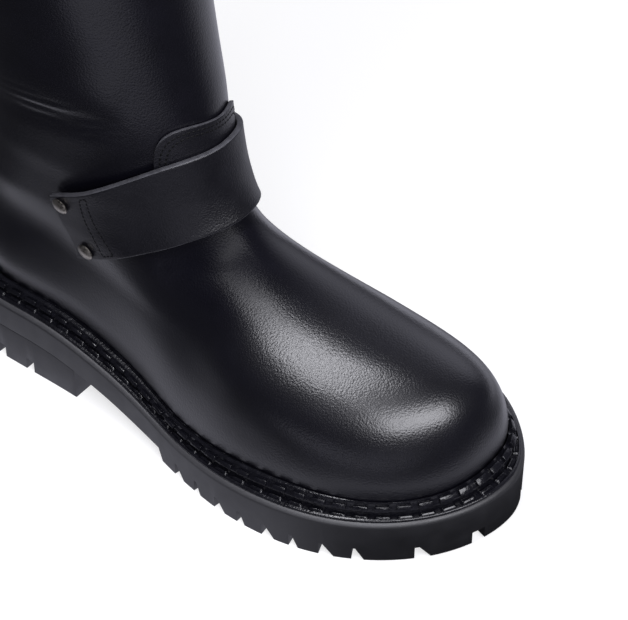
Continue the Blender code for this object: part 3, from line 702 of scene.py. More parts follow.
def new_group(name, inputs, outputs):
    """Shader node group with a place, float inputs by name and default, and float outputs."""
    tree = bpy.data.node_groups.new(name, "ShaderNodeTree")
    tree.interface.new_socket(name="Vector", in_out="INPUT", socket_type="NodeSocketVector")
    for label, default in inputs.items():
        socket = tree.interface.new_socket(name=label, in_out="INPUT", socket_type="NodeSocketFloat")
        socket.default_value = default
    for label in outputs:
        tree.interface.new_socket(name=label, in_out="OUTPUT", socket_type="NodeSocketFloat")
    return tree, add_node(tree, "NodeGroupInput"), add_node(tree, "NodeGroupOutput")


def math_node(tree, operation, *terms):
    """Math node on sockets or numbers."""
    return add_node(tree, "ShaderNodeMath", dict(enumerate(terms)), operation=operation).outputs[0]


def noise(tree, vector, scale, detail, roughness=0.5):
    """Noise at a place."""
    return add_node(tree, "ShaderNodeTexNoise", {
        "Vector": vector, "Scale": scale, "Detail": detail, "Roughness": roughness}).outputs["Fac"]


def grain_group():
    """Pebbled leather grain: rounded cells with fine pores, and long soft waves."""
    if "leather_grain" in bpy.data.node_groups:
        return bpy.data.node_groups["leather_grain"]
    tree, source, sink = new_group("leather_grain", {"Cells": 1400.0, "Waves": 0.5}, ("Height",))
    place = source.outputs["Vector"]
    warp = add_node(tree, "ShaderNodeTexNoise", {"Vector": place, "Scale": 420.0, "Detail": 1.0})
    shift = add_node(tree, "ShaderNodeVectorMath", {
        0: warp.outputs["Color"], 1: (GRAIN_WARP,) * 3, 2: place}, operation="MULTIPLY_ADD")
    cells = add_node(tree, "ShaderNodeTexVoronoi", {
        "Vector": shift.outputs[0], "Scale": source.outputs["Cells"], "Smoothness": 0.45},
        feature="SMOOTH_F1")
    pebble = math_node(tree, "SUBTRACT", 1.0, cells.outputs["Distance"])
    pores = noise(tree, place, scale=5200.0, detail=1.0)
    waves = noise(tree, place, scale=130.0, detail=2.0)
    fine = math_node(tree, "MULTIPLY_ADD", pores, 0.10, pebble)
    broad = math_node(tree, "MULTIPLY", waves, source.outputs["Waves"])
    tree.links.new(math_node(tree, "ADD", fine, broad), sink.inputs["Height"])
    return tree


def mottle_group():
    """Soft cloudy variation between two values."""
    if "mottle" in bpy.data.node_groups:
        return bpy.data.node_groups["mottle"]
    tree, source, sink = new_group("mottle", {"Scale": 60.0, "Low": 0.3, "High": 0.4}, ("Value", "Mask"))
    cloud = noise(tree, source.outputs["Vector"], source.outputs["Scale"], detail=4.0, roughness=0.6)
    spread = add_node(tree, "ShaderNodeMapRange", {"Value": cloud, "From Min": 0.32, "From Max": 0.68})
    between = add_node(tree, "ShaderNodeMapRange", {
        "Value": spread.outputs[0], "To Min": source.outputs["Low"], "To Max": source.outputs["High"]})
    tree.links.new(between.outputs[0], sink.inputs["Value"])
    tree.links.new(spread.outputs[0], sink.inputs["Mask"])
    return tree


def tinted(colour, factor):
    """Colour made darker or lighter, and opaque."""
    return (*(min(channel * factor, 1.0) for channel in colour), 1.0)


class Finish:
    """A material under construction, with the nodes that all finishes share."""

    def __init__(self, name):
        self.material = bpy.data.materials.new(name)
        self.material.use_nodes = True
        self.tree = self.material.node_tree
        self.shader = self.tree.nodes["Principled BSDF"]
        self.place = add_node(self.tree, "ShaderNodeTexCoord").outputs["Object"]

    def link(self, socket, name):
        self.tree.links.new(socket, self.shader.inputs[name])

    def set(self, values):
        for name, value in values.items():
            self.shader.inputs[name].default_value = value

    def mixed(self, first, second, mask):
        """Two colours mixed where the mask says."""
        return add_node(self.tree, "ShaderNodeMix", {0: mask, 6: first, 7: second},
                        data_type="RGBA").outputs[2]

    def clouded(self, colour, tints, roughness, scale):
        """Soft clouds between two tints of a colour, and between two roughnesses."""
        cloud = add_node(self.tree, "ShaderNodeGroup", {
            "Vector": self.place, "Scale": scale, "Low": roughness[0], "High": roughness[1]},
            node_tree=mottle_group())
        self.link(cloud.outputs["Value"], "Roughness")
        dark, light = (tinted(colour, tint) for tint in tints)
        self.link(self.mixed(dark, light, cloud.outputs["Mask"]), "Base Color")

    def over(self, colour, mask):
        """Lays another colour over the base colour where the mask says."""
        under = self.shader.inputs["Base Color"].links[0].from_socket
        self.link(self.mixed(under, tinted(colour, 1.0), mask), "Base Color")

    def noise(self, scale, detail):
        return noise(self.tree, self.place, scale, detail)

    def weave(self, scale, randomness):
        """Height of a cloth's threads."""
        return add_node(self.tree, "ShaderNodeTexVoronoi", {
            "Vector": self.place, "Scale": scale, "Randomness": randomness},
            distance="CHEBYCHEV").outputs["Distance"]

    def bump(self, height, strength, distance):
        bump = add_node(self.tree, "ShaderNodeBump", {
            "Height": height, "Strength": strength, "Distance": distance})
        self.link(bump.outputs["Normal"], "Normal")


def leather_material(name, roughness, grain, polished=False):
    """Black smooth leather with a fine pebbled grain, and with a glossy sheen where it is polished."""
    if name in bpy.data.materials:
        return bpy.data.materials[name]
    made = Finish(name)
    made.clouded(finish().leather, tints=(0.85, 1.2), roughness=roughness, scale=70.0)
    pebbles = add_node(made.tree, "ShaderNodeGroup", {
        "Vector": made.place, "Cells": finish().grain_cells, "Waves": GRAIN_WAVES},
        node_tree=grain_group())
    made.bump(pebbles.outputs["Height"], strength=grain, distance=0.00025)
    if polished:
        polish_and_painted_light = add_node(made.tree, "ShaderNodeAttribute", attribute_name="polish")
        made.link(polish_and_painted_light.outputs["Fac"], "Coat Weight")
        made.link(made.shader.inputs["Normal"].links[0].from_socket, "Coat Normal")
        made.set({"Specular IOR Level": 0.1, "Coat IOR": 1.6, "Coat Roughness": finish().polish_roughness})
    return made.material


def made_once(name):
    """Hands a maker its new finish at the material's first use; later uses get the same material."""
    def keep(make):
        def material():
            if name not in bpy.data.materials:
                make(Finish(name))
            return bpy.data.materials[name]
        return material
    return keep


@made_once("cut_edge")
def cut_edge_and_painted_light_material(made):
    """Cut and painted leather edge with fibres along it: paler, partly as its own colour and partly as
    painted light that its top edge catches.
    """
    made.clouded(finish().cut_edge, tints=(1.0, 1.7), roughness=(0.42, 0.6), scale=400.0)
    made.bump(made.noise(2600.0, 3.0), strength=0.25, distance=0.0002)


@made_once("lining")
def lining_material(made):
    """Woven lining of the upper."""
    made.clouded(finish().lining, tints=(1.0, 1.5), roughness=(0.75, 0.9), scale=300.0)
    made.bump(made.weave(1500.0, 0.25), strength=0.5, distance=0.0003)


@made_once("matt_rubber")
def rubber_material(made):
    """Matt moulded rubber of outsole and heel, with painted light on the rounded top edge: paler where the
    rounding faces up.
    """
    made.clouded(finish().rubber, tints=(0.85, 1.2), roughness=(0.44, 0.54), scale=120.0)
    made.set({"Specular IOR Level": 0.7})
    # Painted light: this mark makes the sole's rounded top edge paler, standing in for the light it catches.
    polish_and_painted_light = add_node(made.tree, "ShaderNodeAttribute", attribute_name="polish_and_painted_light")
    made.over(finish().painted_lip_light, polish_and_painted_light.outputs["Fac"])
    made.bump(made.noise(2600.0, 3.0), strength=0.12, distance=0.0002)


@made_once("welt_gloss")
def welt_material(made):
    """Glossy moulded welt with a slightly uneven surface."""
    made.clouded(finish().welt, tints=(0.8, 1.4), roughness=(0.16, 0.28), scale=260.0)
    made.bump(made.noise(900.0, 2.0), strength=0.22, distance=0.0006)


@made_once("thread")
def thread_material(made):
    """Waxed black thread."""
    made.clouded(finish().thread, tints=(1.0, 1.6), roughness=(0.5, 0.7), scale=900.0)
    made.set({"Specular IOR Level": 0.2})
    made.bump(made.noise(4200.0, 1.0), strength=0.5, distance=0.0002)


@made_once("aged_nickel")
def nickel_material(made):
    """Aged nickel, darker where the tarnish has settled."""
    made.clouded(finish().nickel, tints=(0.55, 1.0), roughness=(0.24, 0.42), scale=700.0)
    made.set({"Metallic": 1.0})
    made.bump(made.noise(1500.0, 2.0), strength=0.08, distance=0.0002)


@made_once("insole_cloth")
def insole_material(made):
    """Cloth face of the insole."""
    made.clouded(finish().insole, tints=(1.0, 1.4), roughness=(0.8, 0.92), scale=200.0)
    made.bump(made.weave(1200.0, 0.2), strength=0.5, distance=0.0003)


def dress(piece, *materials):
    piece.data.materials.clear()
    for material in materials:
        piece.data.materials.append(material)


def length(name, description, default):
    return bpy.props.FloatProperty(name=name, description=description, default=default, unit="LENGTH")


def number(name, description, default):
    return bpy.props.FloatProperty(name=name, description=description, default=default)


def turned(name, description, degrees):
    return bpy.props.FloatProperty(
        name=name, description=description, default=math.radians(degrees), subtype="ANGLE")


def colour(name, description, *channels):
    return bpy.props.FloatVectorProperty(
        name=name, description=description, default=channels, subtype="COLOR")


class BootSizes(bpy.types.PropertyGroup):
    """Sizes of the finished pieces."""
    upper_wall: length("Upper wall", "Thickness of the upper with its lining", 0.0022)
    upper_columns: bpy.props.IntProperty(
        name="Upper columns", description="Mesh columns round the upper", default=208, min=48)
    upper_rows: bpy.props.IntProperty(
        name="Upper rows", description="Mesh rows from feather line to collar", default=164, min=48)
    strap_thickness: length("Strap thickness", "Thickness of the instep strap", 0.0026)
    tab_thickness: length("Tab thickness", "Thickness of the instep tab", 0.0014)
    block_pitch: length("Block pitch", "Spacing of the blocks on the welt's rim", 0.0082)
    block_length: length("Block length", "Length of a block on the welt's rim", 0.0054)
    bar_pitch: length("Bar pitch", "Spacing of the welt's stitch bars", 0.0086)
    bar_length: length("Bar length", "Length of one of the welt's stitch bars", 0.0066)
    stitch_pitch: length("Stitch pitch", "Spacing of the stitches on tab and strap", 0.0021)
    stitch_length: length("Stitch length", "Length of one stitch", 0.0018)
    sole_rounding: length("Sole rounding", "Radius of the outsole's upper edge", 0.0026)


class BootFinish(bpy.types.PropertyGroup):
    """Colours and grain of the materials."""
    leather: colour("Leather", "Colour of the leather", 0.0024, 0.0023, 0.0046)
    # Partly painted light: the cut edges' paler colour also stands in for the light their top edges catch.
    cut_edge: colour("Cut edge", "Colour of the cut edges", 0.042, 0.042, 0.048)
    lining: colour("Lining", "Colour of the lining", 0.020, 0.019, 0.018)
    rubber: colour("Rubber", "Colour of outsole and heel", 0.0075, 0.0075, 0.0092)
    # Painted light: paler colour of the sole's rounded top edge, standing in for the light the upward
    # rounding catches.
    painted_lip_light: colour("Painted lip light", "Colour of the sole's rounded top edge", 0.046, 0.046, 0.050)
    welt: colour("Welt", "Colour of the welt", 0.004, 0.004, 0.006)
    thread: colour("Thread", "Colour of the stitches", 0.0012, 0.0012, 0.0016)
    nickel: colour("Nickel", "Colour of the rivets", 0.46, 0.43, 0.38)
    insole: colour("Insole", "Colour of the insole", 0.035, 0.033, 0.031)
    polish_roughness: number("Polish", "Roughness of the leather's polished sheen", 0.29)
    grain_cells: number("Grain", "Pebbles of the leather's grain in a metre", 1300.0)


class BootStudio(bpy.types.PropertyGroup):
    """Camera, floor and lights."""
    camera_place: bpy.props.FloatVectorProperty(
        name="Camera", description="Place of the camera", subtype="TRANSLATION",
        default=(0.42777, -0.50466, 0.67054))
    camera_turn: turned("Turn", "Turn of the camera about the vertical", 37.309)
    camera_tilt: turned("Tilt", "Tilt of the camera down from level", 43.435)
    lens: number("Lens", "Focal length in millimetres on a 36 mm sensor", 130.5)
    floor_glow: number("Floor glow", "Light that the lit table gives by itself", 0.64)
    floor_mirrored: number("Floor mirrored", "Brightness of the table where the boot mirrors it", 0.72)
    overhead: number("Overhead", "Radiance of the box over the boot", 14.5)
    front: number("Front", "Radiance of the box beside the camera", 8.2)
    room: number("Room", "Radiance of the dim room", 0.05)
    far_wall: number("Far wall", "Radiance of the lit wall on the inner side", 0.85)


class BOOT_OT_upper(bpy.types.Operator):
    """Upper in one hollow wall: vamp, quarters and shaft, with its lining and creases"""
    bl_idname = "boot.upper"
    bl_label = "Upper"

    ROW_SHARES = (0.0, 0.46, 0.80, 1.0)
    ROW_RINGS = (0.0, 10.5, 14.2, TOP_RING)
    SMOOTHINGS = 12
    CREASE_STEPS = 40
    RIDGE_SHARE = 0.45
    RIDGE_SPREAD = 2.1
    DULL_MIDDLE = math.radians(150)
    DULL_SPREAD = math.radians(44)
    DULL_RINGS = 3.4
    COVERED_RINGS = 1.5
    SHAFT_SHEEN = 0.6
    TAPER_POWER = 0.7

    def crease_heights(self, points):
        """Height of all creases over the smooth form, at the given points."""
        total = np.zeros(len(points))
        step = np.linspace(0.0, 1.0, self.CREASE_STEPS)
        taper = np.sin(math.pi * step) ** self.TAPER_POWER
        for crease in CREASES:
            angle = np.radians(blend(crease.angle, crease.end_angle, step))
            height = blend(crease.height, crease.end_height, step) + crease.bow * np.sin(math.pi * step)
            path = upper_point(ring_at(angle, height), angle) - CENTRE
            apart = np.linalg.norm(points[:, None, :] - path[None], axis=2)
            nearest = apart.argmin(axis=1)
            distance = apart.min(axis=1) / crease.width
            trough = self.RIDGE_SHARE * np.exp(-(distance / self.RIDGE_SPREAD) ** 2) - np.exp(-distance ** 2)
            total += crease.depth * taper[nearest] * trough
        return total

    def execute(self, context):
        def place(across, up):
            ring = np.interp(up, self.ROW_SHARES, self.ROW_RINGS)
            return upper_point(ring, 2.0 * math.pi * across)

        upper = wrapped_grid("boot_upper", boot().upper_columns, boot().upper_rows, place, self.rub)
        merge(upper)
        edit(upper, "VERT")
        bpy.ops.mesh.select_all(action="DESELECT")
        bpy.ops.mesh.select_non_manifold()
        bpy.ops.mesh.select_all(action="INVERT")
        bpy.ops.mesh.vertices_smooth(factor=0.5, repeat=self.SMOOTHINGS)
        edited()
        points = points_of(upper)
        normals = np.empty(len(upper.data.vertices) * 3)
        upper.data.vertices.foreach_get("normal", normals)
        creases = self.crease_heights(points)
        put_points(upper, points + normals.reshape(-1, 3) * creases[:, None])
        leather = leather_material("upper_leather", roughness=(0.36, 0.42), grain=0.22, polished=True)
        dress(upper, leather, lining_material(), cut_edge_and_painted_light_material())
        thicken(upper, boot().upper_wall, -1.0, 1, 2)
        round_edges(upper, 0.0007, 3, 60.0)
        smooth(upper, 60.0)
        hand_over(upper, "leather", "upper")
        return {"FINISHED"}

    def rub(self, upper):
        """Marks how far the leather is polished: less close under the strap's lower edge in front."""
        points = points_of(upper)
        across = 0.5 + 0.5 * points[:, 0]
        ring = np.interp(0.5 + 0.5 * points[:, 1], self.ROW_SHARES, self.ROW_RINGS)
        angle = 2.0 * math.pi * across
        below = strap_ring(angle, np.zeros_like(angle)) - ring
        dull = np.exp(-((angle - self.DULL_MIDDLE) / self.DULL_SPREAD) ** 4)
        vamp = smooth_step(1.0 + below / self.COVERED_RINGS)
        dull = dull * vamp
        polish = 1.0 - dull * (1.0 - smooth_step(below / self.DULL_RINGS) ** 3)
        polish = polish * blend(self.SHAFT_SHEEN, 1.0, vamp)
        mark = upper.data.attributes.new("polish", "FLOAT", "POINT")
        mark.data.foreach_set("value", polish.astype(np.float32))


class BOOT_OT_tab(bpy.types.Operator):
    """Tab rising from under the strap, with rounded corners and two rows of stitches"""
    bl_idname = "boot.tab"
    bl_label = "Instep tab"

    COLUMNS = 96
    ROWS = 44
    STITCH_INSETS = (0.0018, 0.0036)
    SIDE_REACH = 0.0275

    def stitch_path(self, inset):
        """Line round the tab's sides and top, inset from its edge, with its normals."""
        turn = np.linspace(-1.0, 1.0, 400)
        across = TAB_EDGE * np.sign(turn) * np.abs(turn) ** 0.5
        angle = TAB_MIDDLE + across * (1.0 - inset / self.SIDE_REACH) * TAB_HALF_ANGLE
        foot, crest = tab_crest(across, angle)
        per_ring = np.linalg.norm(upper_point(crest, angle) - upper_point(crest - 0.5, angle), axis=-1) / 0.5
        ring = crest - inset / per_ring
        stem = np.linspace(0.45, 1.0, 24)[:-1]
        left = blend(foot[0], ring[0], stem)
        right = blend(foot[-1], ring[-1], stem[::-1])
        ring = np.concatenate([left, ring, right])
        angle = np.concatenate([np.full_like(left, angle[0]), angle, np.full_like(right, angle[-1])])
        out = TAB_SEAT + boot().tab_thickness
        return upper_offset(ring, angle, out), upper_normal(ring, angle)

    def execute(self, context):
        def place(across, up):
            across = TAB_EDGE * (2.0 * across - 1.0)
            angle = TAB_MIDDLE + across * TAB_HALF_ANGLE
            foot, crest = tab_crest(across, angle)
            return upper_offset(blend(foot, crest, up), angle, TAB_SEAT)

        tab = wrapped_grid("boot_instep_tab", self.COLUMNS, self.ROWS, place)
        leather = leather_material("tab_leather", roughness=(0.36, 0.44), grain=0.5)
        dress(tab, leather, cut_edge_and_painted_light_material())
        thicken(tab, boot().tab_thickness, 1.0, 0, 1)
        round_edges(tab, 0.00035, 2, 60.0)
        smooth(tab, 50.0)
        hand_over(tab, "leather", "instep_tab")
        rows = [stitch_row(*self.stitch_path(inset)) for inset in self.STITCH_INSETS]
        sew("boot_tab_stitches", rows)
        return {"FINISHED"}


class BOOT_OT_strap(bpy.types.Operator):
    """Strap over the instep, with a box of stitches at each end"""
    bl_idname = "boot.strap"
    bl_label = "Instep strap"

    COLUMNS = 168
    ROWS = 26
    BOX_LOW = (math.radians(87), math.radians(94))
    BOX_HIGH = (math.radians(103), math.radians(106.5))
    BOX_ACROSS = (0.05, 0.93)

    def line(self, start, end, side):
        """Stitch line on the strap between two places, on the lateral (1) or medial (-1) side."""
        share = np.linspace(0.0, 1.0, 60)
        angle, across = (blend(first, last, share) for first, last in zip(start, end))
        angle = angle if side > 0 else 2.0 * math.pi - angle
        normal = strap_normal(angle, across)
        return strap_point(angle, across) + normal * boot().strap_thickness, normal

    def execute(self, context):
        def place(across, up):
            angle = math.pi + (2.0 * across - 1.0) * (math.pi - strap_end(up))
            return strap_point(angle, up)

        strap = wrapped_grid("boot_instep_strap", self.COLUMNS, self.ROWS, place)
        leather = leather_material("strap_leather", roughness=(0.38, 0.46), grain=0.4)
        dress(strap, leather, cut_edge_and_painted_light_material())
        thicken(strap, boot().strap_thickness, 1.0, 0, 1)
        round_edges(strap, 0.0006, 3, 60.0)
        smooth(strap, 50.0)
        hand_over(strap, "leather", "instep_strap")
        low, high = self.BOX_ACROSS
        rows = []
        for side in (1, -1):
            near_low = (self.BOX_LOW[0], low)
            far_low = (self.BOX_LOW[1], low)
            near_high = (self.BOX_HIGH[0], high)
            far_high = (self.BOX_HIGH[1], high)
            for start, end in ((near_low, near_high), (far_low, far_high), (near_low, far_low),
                               (near_high, far_high)):
                rows.append(stitch_row(*self.line(start, end, side)))
        sew("boot_strap_stitches", rows)
        return {"FINISHED"}


STITCH_WIDTH = 0.00080
STITCH_HEIGHT = 0.0004
STITCH_SINK = 0.00003
STITCH_SHOULDER = 0.8
STITCH_DIVE = 0.25


def stitch_row(path, normals):
    """Places and axes of the stitches along a path."""
    place, direction, share = even_places(path, boot().stitch_pitch, False)
    at = np.linspace(0.0, 1.0, len(path))
    step = np.linalg.norm(np.diff(path, axis=0), axis=1)
    run = np.concatenate([[0.0], np.cumsum(step)]) / step.sum()
    normal = unit(columns_at(np.interp(share, run, at), at, normals))
    return place - normal * STITCH_SINK, standing_axes(direction, normal)


def stitch_seed():
    """One stitch: a short thread with rounded shoulders that dives in at both ends."""
    deselect()
    bpy.ops.mesh.primitive_uv_sphere_add(segments=8, ring_count=6, radius=0.5,
                                         rotation=(0.0, 0.5 * math.pi, 0.0))
    seed = bpy.context.object
    bpy.ops.object.transform_apply(location=False, rotation=True, scale=False)
    points = points_of(seed)
    along = 2.0 * points[:, 0]
    points[:, 0] = 0.5 * np.sign(along) * np.abs(along) ** STITCH_SHOULDER
    points[:, 2] -= STITCH_DIVE * along ** 4
    put_points(seed, points)
    edit(seed, "FACE")
    bpy.ops.mesh.select_all(action="SELECT")
    bpy.ops.transform.resize(value=(boot().stitch_length, STITCH_WIDTH, STITCH_HEIGHT))
    edited()
    return seed


def sew(name, rows):
    """All stitches of a piece as one mesh."""
    origins = np.concatenate([row[0] for row in rows])
    axes = np.concatenate([row[1] for row in rows])
    stitches = joined_copies(name, stitch_seed(), origins, axes, np.ones((len(origins), 3)))
    dress(stitches, thread_material())
    smooth(stitches, 60.0)
    hand_over(stitches, "leather")


class BOOT_OT_rivets(bpy.types.Operator):
    """Domed rivets at the strap's ends"""
    bl_idname = "boot.rivets"
    bl_label = "Rivets"

    SIDES = 40
    EDGE = 0.0005
    STEPS = ((0.0004, 0.0003), (0.0007, 0.00035), (0.0009, 0.00025), (0.0009, 0.00012))

    def execute(self, context):
        for side, direction in (("lateral", 1.0), ("medial", -1.0)):
            for height, share in zip(("low", "high"), RIVET_ACROSS):
                angle = np.array([direction * (strap_end(share) + RIVET_FROM_END)]) % (2.0 * math.pi)
                across = np.array([share])
                axis = strap_normal(angle, across)[0]
                seat = strap_point(angle, across)[0] - CENTRE
                seat = seat + axis * (boot().strap_thickness + RIVET_SEAT)
                deselect()
                bpy.ops.mesh.primitive_cylinder_add(vertices=self.SIDES, radius=RIVET_RADIUS, depth=self.EDGE)
                rivet = bpy.context.object
                rivet.name = f"boot_rivet_{side}_{height}"
                choose_faces(rivet, face_normals(rivet)[:, 2] > 0.9)
                edit(rivet, "FACE")
                for inset, rise in self.STEPS:
                    bpy.ops.mesh.inset(thickness=inset, depth=rise)
                bpy.ops.mesh.poke()
                edited()
                round_edges(rivet, 0.0001, 2, 60.0)
                smooth(rivet, 50.0)
                rivet.location = Vector(seat) + Vector(axis) * (0.5 * self.EDGE)
                rivet.rotation_mode = "QUATERNION"
                rivet.rotation_quaternion = Vector(axis).to_track_quat("Z", "Y")
                activate(rivet)
                bpy.ops.object.transform_apply(location=True, rotation=True, scale=True)
                dress(rivet, nickel_material())
                hand_over(rivet, "nickel", f"rivet_{side}_{height}")
        return {"FINISHED"}


class BOOT_OT_welt(bpy.types.Operator):
    """Moulded welt with a blocked rim and a channel of stitch bars"""
    bl_idname = "boot.welt"
    bl_label = "Welt"

    COLUMNS = 300
    INNER_RINGS = (1.0, 0.5, 0.0)
    BLOCK_PROUD = 0.0015
    BLOCK_SINK = 0.0006
    BAR_HEIGHT = 0.0020
    BAR_RISE = 0.0004
    BAR_SHARE = 0.92
    BAR_CROWN = 0.0009
    GROOVE = 0.00035
    USUAL_WIDTH = 0.0025
    CROWN_POWER = 3.0
    END_POWER = 8.0

    def section(self, angle, row):
        """Point of the welt's cross-section at an angle round the boot, by its row number in the table."""
        edge = columns_at(angle, ROUND, inset_ring(sole_edge(ROUND), WELT_MARGIN), period=2.0 * math.pi)
        top = upper_offset(RIM_RING, angle, SEAT_GAP)
        numbers = np.arange(len(WELT_SECTION))
        flank, toe, height, lift = (np.interp(row, numbers, column) for column in zip(*WELT_SECTION))
        at_toe = np.exp(-((angle - math.pi) / TOE_SPREAD) ** 2)
        share = blend(flank, toe, at_toe)
        lift = lift - TOE_LOWERED * at_toe
        at_waist = np.exp(-((np.minimum(angle, 2.0 * math.pi - angle) - WAIST_ANGLE) / WAIST_SPREAD) ** 2)
        height = height * (1.0 + TOE_RIM_RISE * at_toe - WAIST_RIM_FALL * at_waist)
        plan = edge + (top[..., :2] - edge) * share[..., None]
        base = sole_top(plan[..., 0])
        return np.concatenate([plan, (base + lift + height * (top[..., 2] - base))[..., None]], axis=-1)

    def closed_section(self, across, up):
        """Welt's outer section, then its inner face along the upper."""
        angle = 2.0 * math.pi * across
        count = len(WELT_SECTION) + len(self.INNER_RINGS)
        number = np.rint(up * count).astype(int) % count
        points = np.empty((len(angle), 3))
        outer = number < len(WELT_SECTION)
        points[outer] = self.section(angle[outer], number[outer])
        ring = np.array(self.INNER_RINGS)[number[~outer] - len(WELT_SECTION)]
        points[~outer] = upper_offset(ring, angle[~outer], SEAT_GAP)
        return points

    def line(self, row):
        """Closed line round the welt at one row of its section."""
        return self.section(ROUND, np.full_like(ROUND, row))

    def between(self, low, high, pitch):
        """Even places on the line midway between two lines, with the way along and across it."""
        line = 0.5 * (low + high)
        place, direction, share = even_places(line, pitch, True)
        step = np.linalg.norm(np.diff(np.vstack([line, line[:1]]), axis=0), axis=1)
        start = np.concatenate([[0.0], np.cumsum(step)[:-1]]) / step.sum()
        return place, direction, columns_at(share, start, high - low)

    def block_seed(self):
        """One block of the rim, a metre wide before it is scaled to fit, with softened edges."""
        deselect()
        bpy.ops.mesh.primitive_cube_add(size=1.0)
        seed = bpy.context.object
        edit(seed, "EDGE")
        bpy.ops.mesh.select_all(action="SELECT")
        height = self.BLOCK_PROUD + self.BLOCK_SINK
        bpy.ops.transform.resize(value=(boot().block_length, self.USUAL_WIDTH, height))
        bpy.ops.mesh.bevel(offset=0.0002, segments=2, affect="EDGES")
        bpy.ops.mesh.select_all(action="SELECT")
        bpy.ops.transform.resize(value=(1.0, 1.0 / self.USUAL_WIDTH, 1.0))
        edited()
        return seed

    def bar_seed(self):
        """One stitch bar, a metre wide before it is scaled to fit, with two grooves along its round top."""
        deselect()
        bpy.ops.mesh.primitive_cube_add(size=1.0)
        seed = bpy.context.object
        edit(seed, "FACE")
        bpy.ops.mesh.select_all(action="SELECT")
        bpy.ops.mesh.subdivide(number_cuts=11)
        bpy.ops.transform.resize(value=(boot().bar_length, 1.0, self.BAR_HEIGHT))
        edited()
        points = points_of(seed)
        across = 2.0 * points[:, 1]
        along = 2.0 * points[:, 0] / boot().bar_length
        ends = 1.0 - np.abs(along) ** self.END_POWER
        crown = (1.0 - np.abs(across) ** self.CROWN_POWER) * ends
        grooves = self.GROOVE * np.cos(1.5 * math.pi * across) ** 2 * ends
        share = 0.5 + points[:, 2] / self.BAR_HEIGHT
        points[:, 2] -= share * (self.BAR_CROWN * (1.0 - crown) + self.GROOVE - grooves)
        put_points(seed, points)
        return seed

    def execute(self, context):
        rows = len(WELT_SECTION) + len(self.INNER_RINGS)
        welt = wrapped_grid("boot_welt", self.COLUMNS, rows, self.closed_section)
        merge(welt)
        dress(welt, welt_material())
        smooth(welt, 50.0)
        hand_over(welt, "welt", "welt")

        place, direction, across = self.between(self.line(BLOCK_ROWS[0]), self.line(BLOCK_ROWS[1]),
                                                boot().block_pitch)
        normal = np.cross(direction, across)
        normal = unit(normal * np.sign(normal[:, 2:3]))
        scales = np.ones((len(place), 3))
        scales[:, 1] = np.linalg.norm(across, axis=1)
        blocks = joined_copies("boot_welt_blocks", self.block_seed(),
                               place + normal * 0.5 * (self.BLOCK_PROUD - self.BLOCK_SINK),
                               standing_axes(direction, normal), scales)
        dress(blocks, welt_material())
        smooth(blocks, 50.0)
        hand_over(blocks, "welt")

        place, direction, across = self.between(self.line(CHANNEL_ROWS[0]), self.line(CHANNEL_ROWS[1]),
                                                boot().bar_pitch)
        up = np.tile([0.0, 0.0, 1.0], (len(place), 1))
        scales = np.ones((len(place), 3))
        scales[:, 1] = self.BAR_SHARE * np.linalg.norm(across, axis=1)
        bars = joined_copies("boot_welt_bars", self.bar_seed(), place + up * self.BAR_RISE,
                             standing_axes(direction, up), scales)
        dress(bars, welt_material())
        smooth(bars, 50.0)
        hand_over(bars, "welt")
        return {"FINISHED"}


